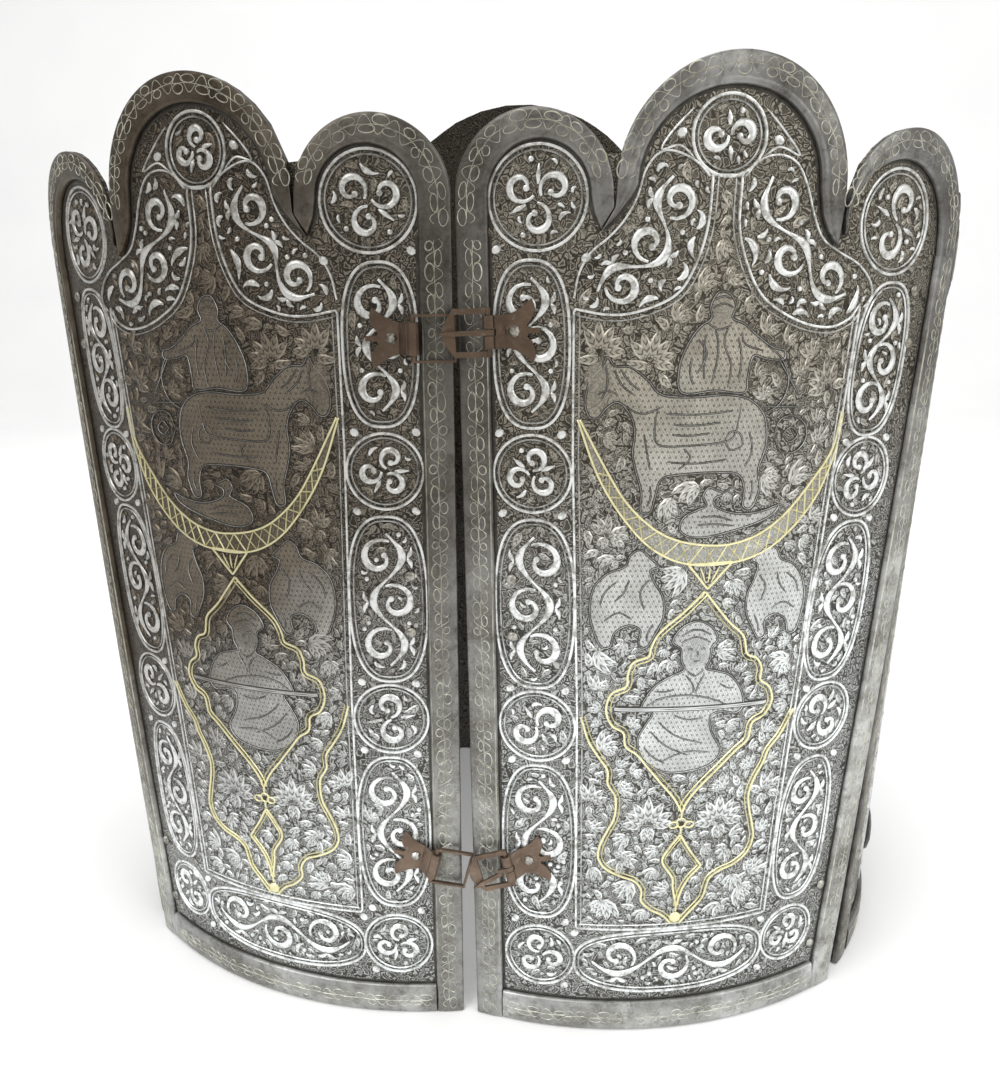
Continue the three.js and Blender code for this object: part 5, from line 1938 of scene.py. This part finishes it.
class Strap:
    """A leather strap that follows the inner faces of two panels round their junction."""

    def __init__(self, first, second, low, high):
        self.first, self.second, self.low, self.high = first, second, low, high

    def place(self, u, z, h):
        """Places at a share u of the way along, from the end on one panel to the end on the other."""
        reach = lerp(STRAP_REACH, 0.4, np.clip(np.minimum(u, 1 - u) * 2, 0, 1))
        a = self.first(reach, z, h)
        b = self.second(reach, z, h)
        near = np.clip((u - 0.46) / 0.08, 0, 1)[..., None]
        return a * (1 - near) + b * near

    def body(self, name, rng):
        """The strap with soft edges, slight waves and a dry crease at the fold."""
        turn = np.linspace(0, 2 * np.pi, 28, endpoint=False)
        across = np.sign(np.cos(turn)) * np.abs(np.cos(turn)) ** 0.3
        deep = np.sign(np.sin(turn)) * np.abs(np.sin(turn)) ** 0.45
        u = np.concatenate([[0.0, 0.012], np.linspace(0.03, 0.97, 45), [0.988, 1.0]])
        half = (self.high - self.low) / 2 * np.concatenate([[0.93, 0.985], np.ones(45), [0.985, 0.93]])
        wave = 0.16 * np.sin(u * 21 + rng.random() * 6) + 0.1 * np.sin(u * 47)
        waist = 1 - 0.02 * np.abs(np.sin(u * 9 + rng.random()))
        z = (self.low + self.high) / 2 + across[None, :] * (half * waist)[:, None]
        thin = (0.92 + 0.08 * np.sin(u * 33))[:, None] - 0.06 * np.abs(across)[None, :]
        thin[[0, -1]] *= 0.6
        h = STRAP_SEAT - STRAP_THICK / 2 + deep[None, :] * thin * (STRAP_THICK / 2 - 0.12)
        h = h + wave[:, None] * 0.4 * (deep[None, :] < 0)
        h = np.clip(h, STRAP_SEAT - STRAP_THICK + 0.03, STRAP_SEAT - 0.02)
        points = self.place(u[:, None] + z * 0, z, h).reshape(-1, 3)
        return make_mesh(name, points, tube_faces(*z.shape), "old_leather", 60.0)

    def seams(self, name):
        """Stitches along both long edges and both ends, on the inner face."""
        low, high = self.low + SEAM_INSET, self.high - SEAM_INSET
        reach = 2 * STRAP_REACH
        runs = [[(u, z) for u in np.arange(0.05, 0.951, STITCH / reach)] for z in (low, high)]
        runs += [[(u, z) for z in np.arange(low + STITCH, high - 1, STITCH)] for u in (0.06, 0.94)]
        points, faces = [], []
        ring = np.linspace(0, 2 * np.pi, 5, endpoint=False)[None, :]
        t = np.array([-0.5, -0.3, 0.3, 0.5])[:, None] * STITCH * 0.74
        thick = np.array([0.12, 0.42, 0.42, 0.12])[:, None]
        h = STRAP_SEAT - STRAP_THICK + 0.2 - np.sin(ring) * thick
        side = np.cos(ring) * thick
        for k, run in enumerate(runs):
            ds, dz = (t, side) if k < 2 else (side, t)
            for u, z in run:
                faces += tube_faces(4, 5, len(points) * 20)
                points.append(self.place(u + ds / reach + side * 0, z + dz + side * 0, h).reshape(-1, 3))
        return make_mesh(name, np.vstack(points), faces, "waxed_thread", 60.0)


def strap_ends(side):
    """The two straps of a side: each one's first and second panel as functions of reach, height and depth."""
    front, flank, back = PANELS["front_" + side], PANELS["side_" + side], PANELS["back"]
    hand = -1 if side == "right" else 1

    def on_front(reach, z, h):
        return front.at(front_outer(z) - reach, z, h)

    def off_flank(reach, z, h):
        return flank.at(SIDE_LENGTH - reach, z, h)

    def on_back(reach, z, h):
        return back.at(hand * (back_edge(z) - reach), z, h)

    return {"front": (on_front, flank.at), "rear": (off_flank, on_back)}


class CUIRASS_OT_straps(bpy.types.Operator):
    """Makes the stitched leather straps inside and dresses the dark boss outside."""

    bl_idname = "cuirass.straps"
    bl_label = "Straps and boss"

    def execute(self, context):
        rng = np.random.default_rng(sizes().seed + 9)
        for side in ("right", "left"):
            for part, (first, second) in strap_ends(side).items():
                for level, (low, high) in STRAP_LEVELS.items():
                    node = f"strap_{side}_{part}_{level}"
                    strap = Strap(first, second, low, high)
                    seated(strap.body(node + "_leather", rng), "strap_leather", node)
                    seated(strap.seams(node + "_seams"), "strap_leather")
        for name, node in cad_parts.items():
            if name.endswith("_boss"):
                dress(node, "boss_finish", 0.3)
        return {"FINISHED"}


class CUIRASS_OT_stage(bpy.types.Operator):
    """Makes the pale floor and backdrop, the lights and the camera."""

    bl_idname = "cuirass.stage"
    bl_label = "Stage"

    def execute(self, context):
        scene = context.scene
        backdrop()
        world = bpy.data.worlds.new("studio")
        world.use_nodes = True
        sky = world.node_tree.nodes["Background"].inputs
        sky["Color"].default_value = (1.0, 0.995, 0.985, 1)
        sky["Strength"].default_value = 0.76
        scene.world = world
        scene.view_settings.view_transform = "Standard"
        for name, place, size, power in LIGHTS:
            light = bpy.data.lights.new(name, "AREA")
            light.shape, light.energy = "RECTANGLE", power
            light.size, light.size_y = size
            lamp = bpy.data.objects.new(name, light)
            lamp.location = place
            lamp.rotation_euler = (Vector(LIT_PLACE) - Vector(place)).to_track_quat("-Z", "Y").to_euler()
            scene.collection.objects.link(lamp)
        eye = bpy.data.cameras.new("eye")
        eye.lens = CAMERA["lens"]
        camera = bpy.data.objects.new("eye", eye)
        look = Vector(CAMERA["look"]).normalized() * math.cos(CAMERA["pitch"])
        look.z = -math.sin(CAMERA["pitch"])
        turn = look.to_track_quat("-Z", "Y").to_matrix().to_4x4()
        roll = Matrix.Rotation(CAMERA["roll"], 4, "Z")
        camera.matrix_world = Matrix.Translation(CAMERA["place"]) @ turn @ roll
        scene.collection.objects.link(camera)
        scene.camera = camera
        return {"FINISHED"}


CAMERA = {
    "place": (0.0535, -0.4247, 0.3094),
    "look": (-0.122, 0.9925, 0.0),
    "pitch": math.radians(16.24),
    "roll": math.radians(-0.5445),
    "lens": 29.70,
}

LIGHTS = (
    ("key", (-0.9, -1.3, 1.7), (1.4, 1.4), 22.0),
    ("fill", (1.4, -0.9, 1.0), (1.2, 1.2), 10.0),
    ("top", (0.1, 0.3, 2.0), (1.6, 1.6), 14.0),
)
LIT_PLACE = (0, 0, 0.18)


def backdrop():
    """A pale sheet that runs along the floor and up behind."""
    turn = np.linspace(0, math.pi / 2, 12)
    curve = [(-3.0, 0.0)] + [(1.6 + 0.6 * math.sin(a), 0.6 - 0.6 * math.cos(a)) for a in turn] + [(2.2, 3.0)]
    points = [(x, y, z - 0.0005) for x in (-4.0, 4.0) for y, z in curve]
    count = len(curve)
    faces = [[i, i + 1, count + i + 1, count + i] for i in range(count - 1)]
    finish = Finish("pale_sheet")
    finish.set("Base Color", mottled(finish, (0.94, 0.94, 0.94), (0.9, 0.9, 0.905), 3, 2, 0.3, 0.7))
    finish.set("Roughness", 0.85)
    return make_mesh("backdrop", points, faces, "pale_sheet", 60.0)


# Sidebar and running


class CUIRASS_PT_panel(bpy.types.Panel):
    """Lists the steps and their settings."""

    bl_label = "Cuirass"
    bl_space_type = "VIEW_3D"
    bl_region_type = "UI"
    bl_category = "Cuirass"

    def draw(self, context):
        for group in (context.scene.cuirass_sizes, context.scene.cuirass_colours):
            for key in group.bl_rna.properties.keys():
                if key not in ("rna_type", "name"):
                    self.layout.prop(group, key)
        for operator in OPERATORS:
            self.layout.operator(operator.bl_idname)


OPERATORS = (
    CUIRASS_OT_finishes, CUIRASS_OT_front_plates, CUIRASS_OT_side_plates, CUIRASS_OT_back_plate,
    CUIRASS_OT_rims, CUIRASS_OT_rivets, CUIRASS_OT_buckles, CUIRASS_OT_straps, CUIRASS_OT_stage,
)
CLASSES = (CuirassSizes, CuirassColours, *OPERATORS, CUIRASS_PT_panel)


def register():
    for cls in CLASSES:
        bpy.utils.register_class(cls)
    bpy.types.Scene.cuirass_sizes = bpy.props.PointerProperty(type=CuirassSizes)
    bpy.types.Scene.cuirass_colours = bpy.props.PointerProperty(type=CuirassColours)


def unregister():
    del bpy.types.Scene.cuirass_colours
    del bpy.types.Scene.cuirass_sizes
    for cls in reversed(CLASSES):
        bpy.utils.unregister_class(cls)


def main():
    register()
    for operator in OPERATORS:
        group, name = operator.bl_idname.split(".")
        getattr(getattr(bpy.ops, group), name)()
    bpy.context.view_layer.update()


if __name__ == "__main__":
    main()
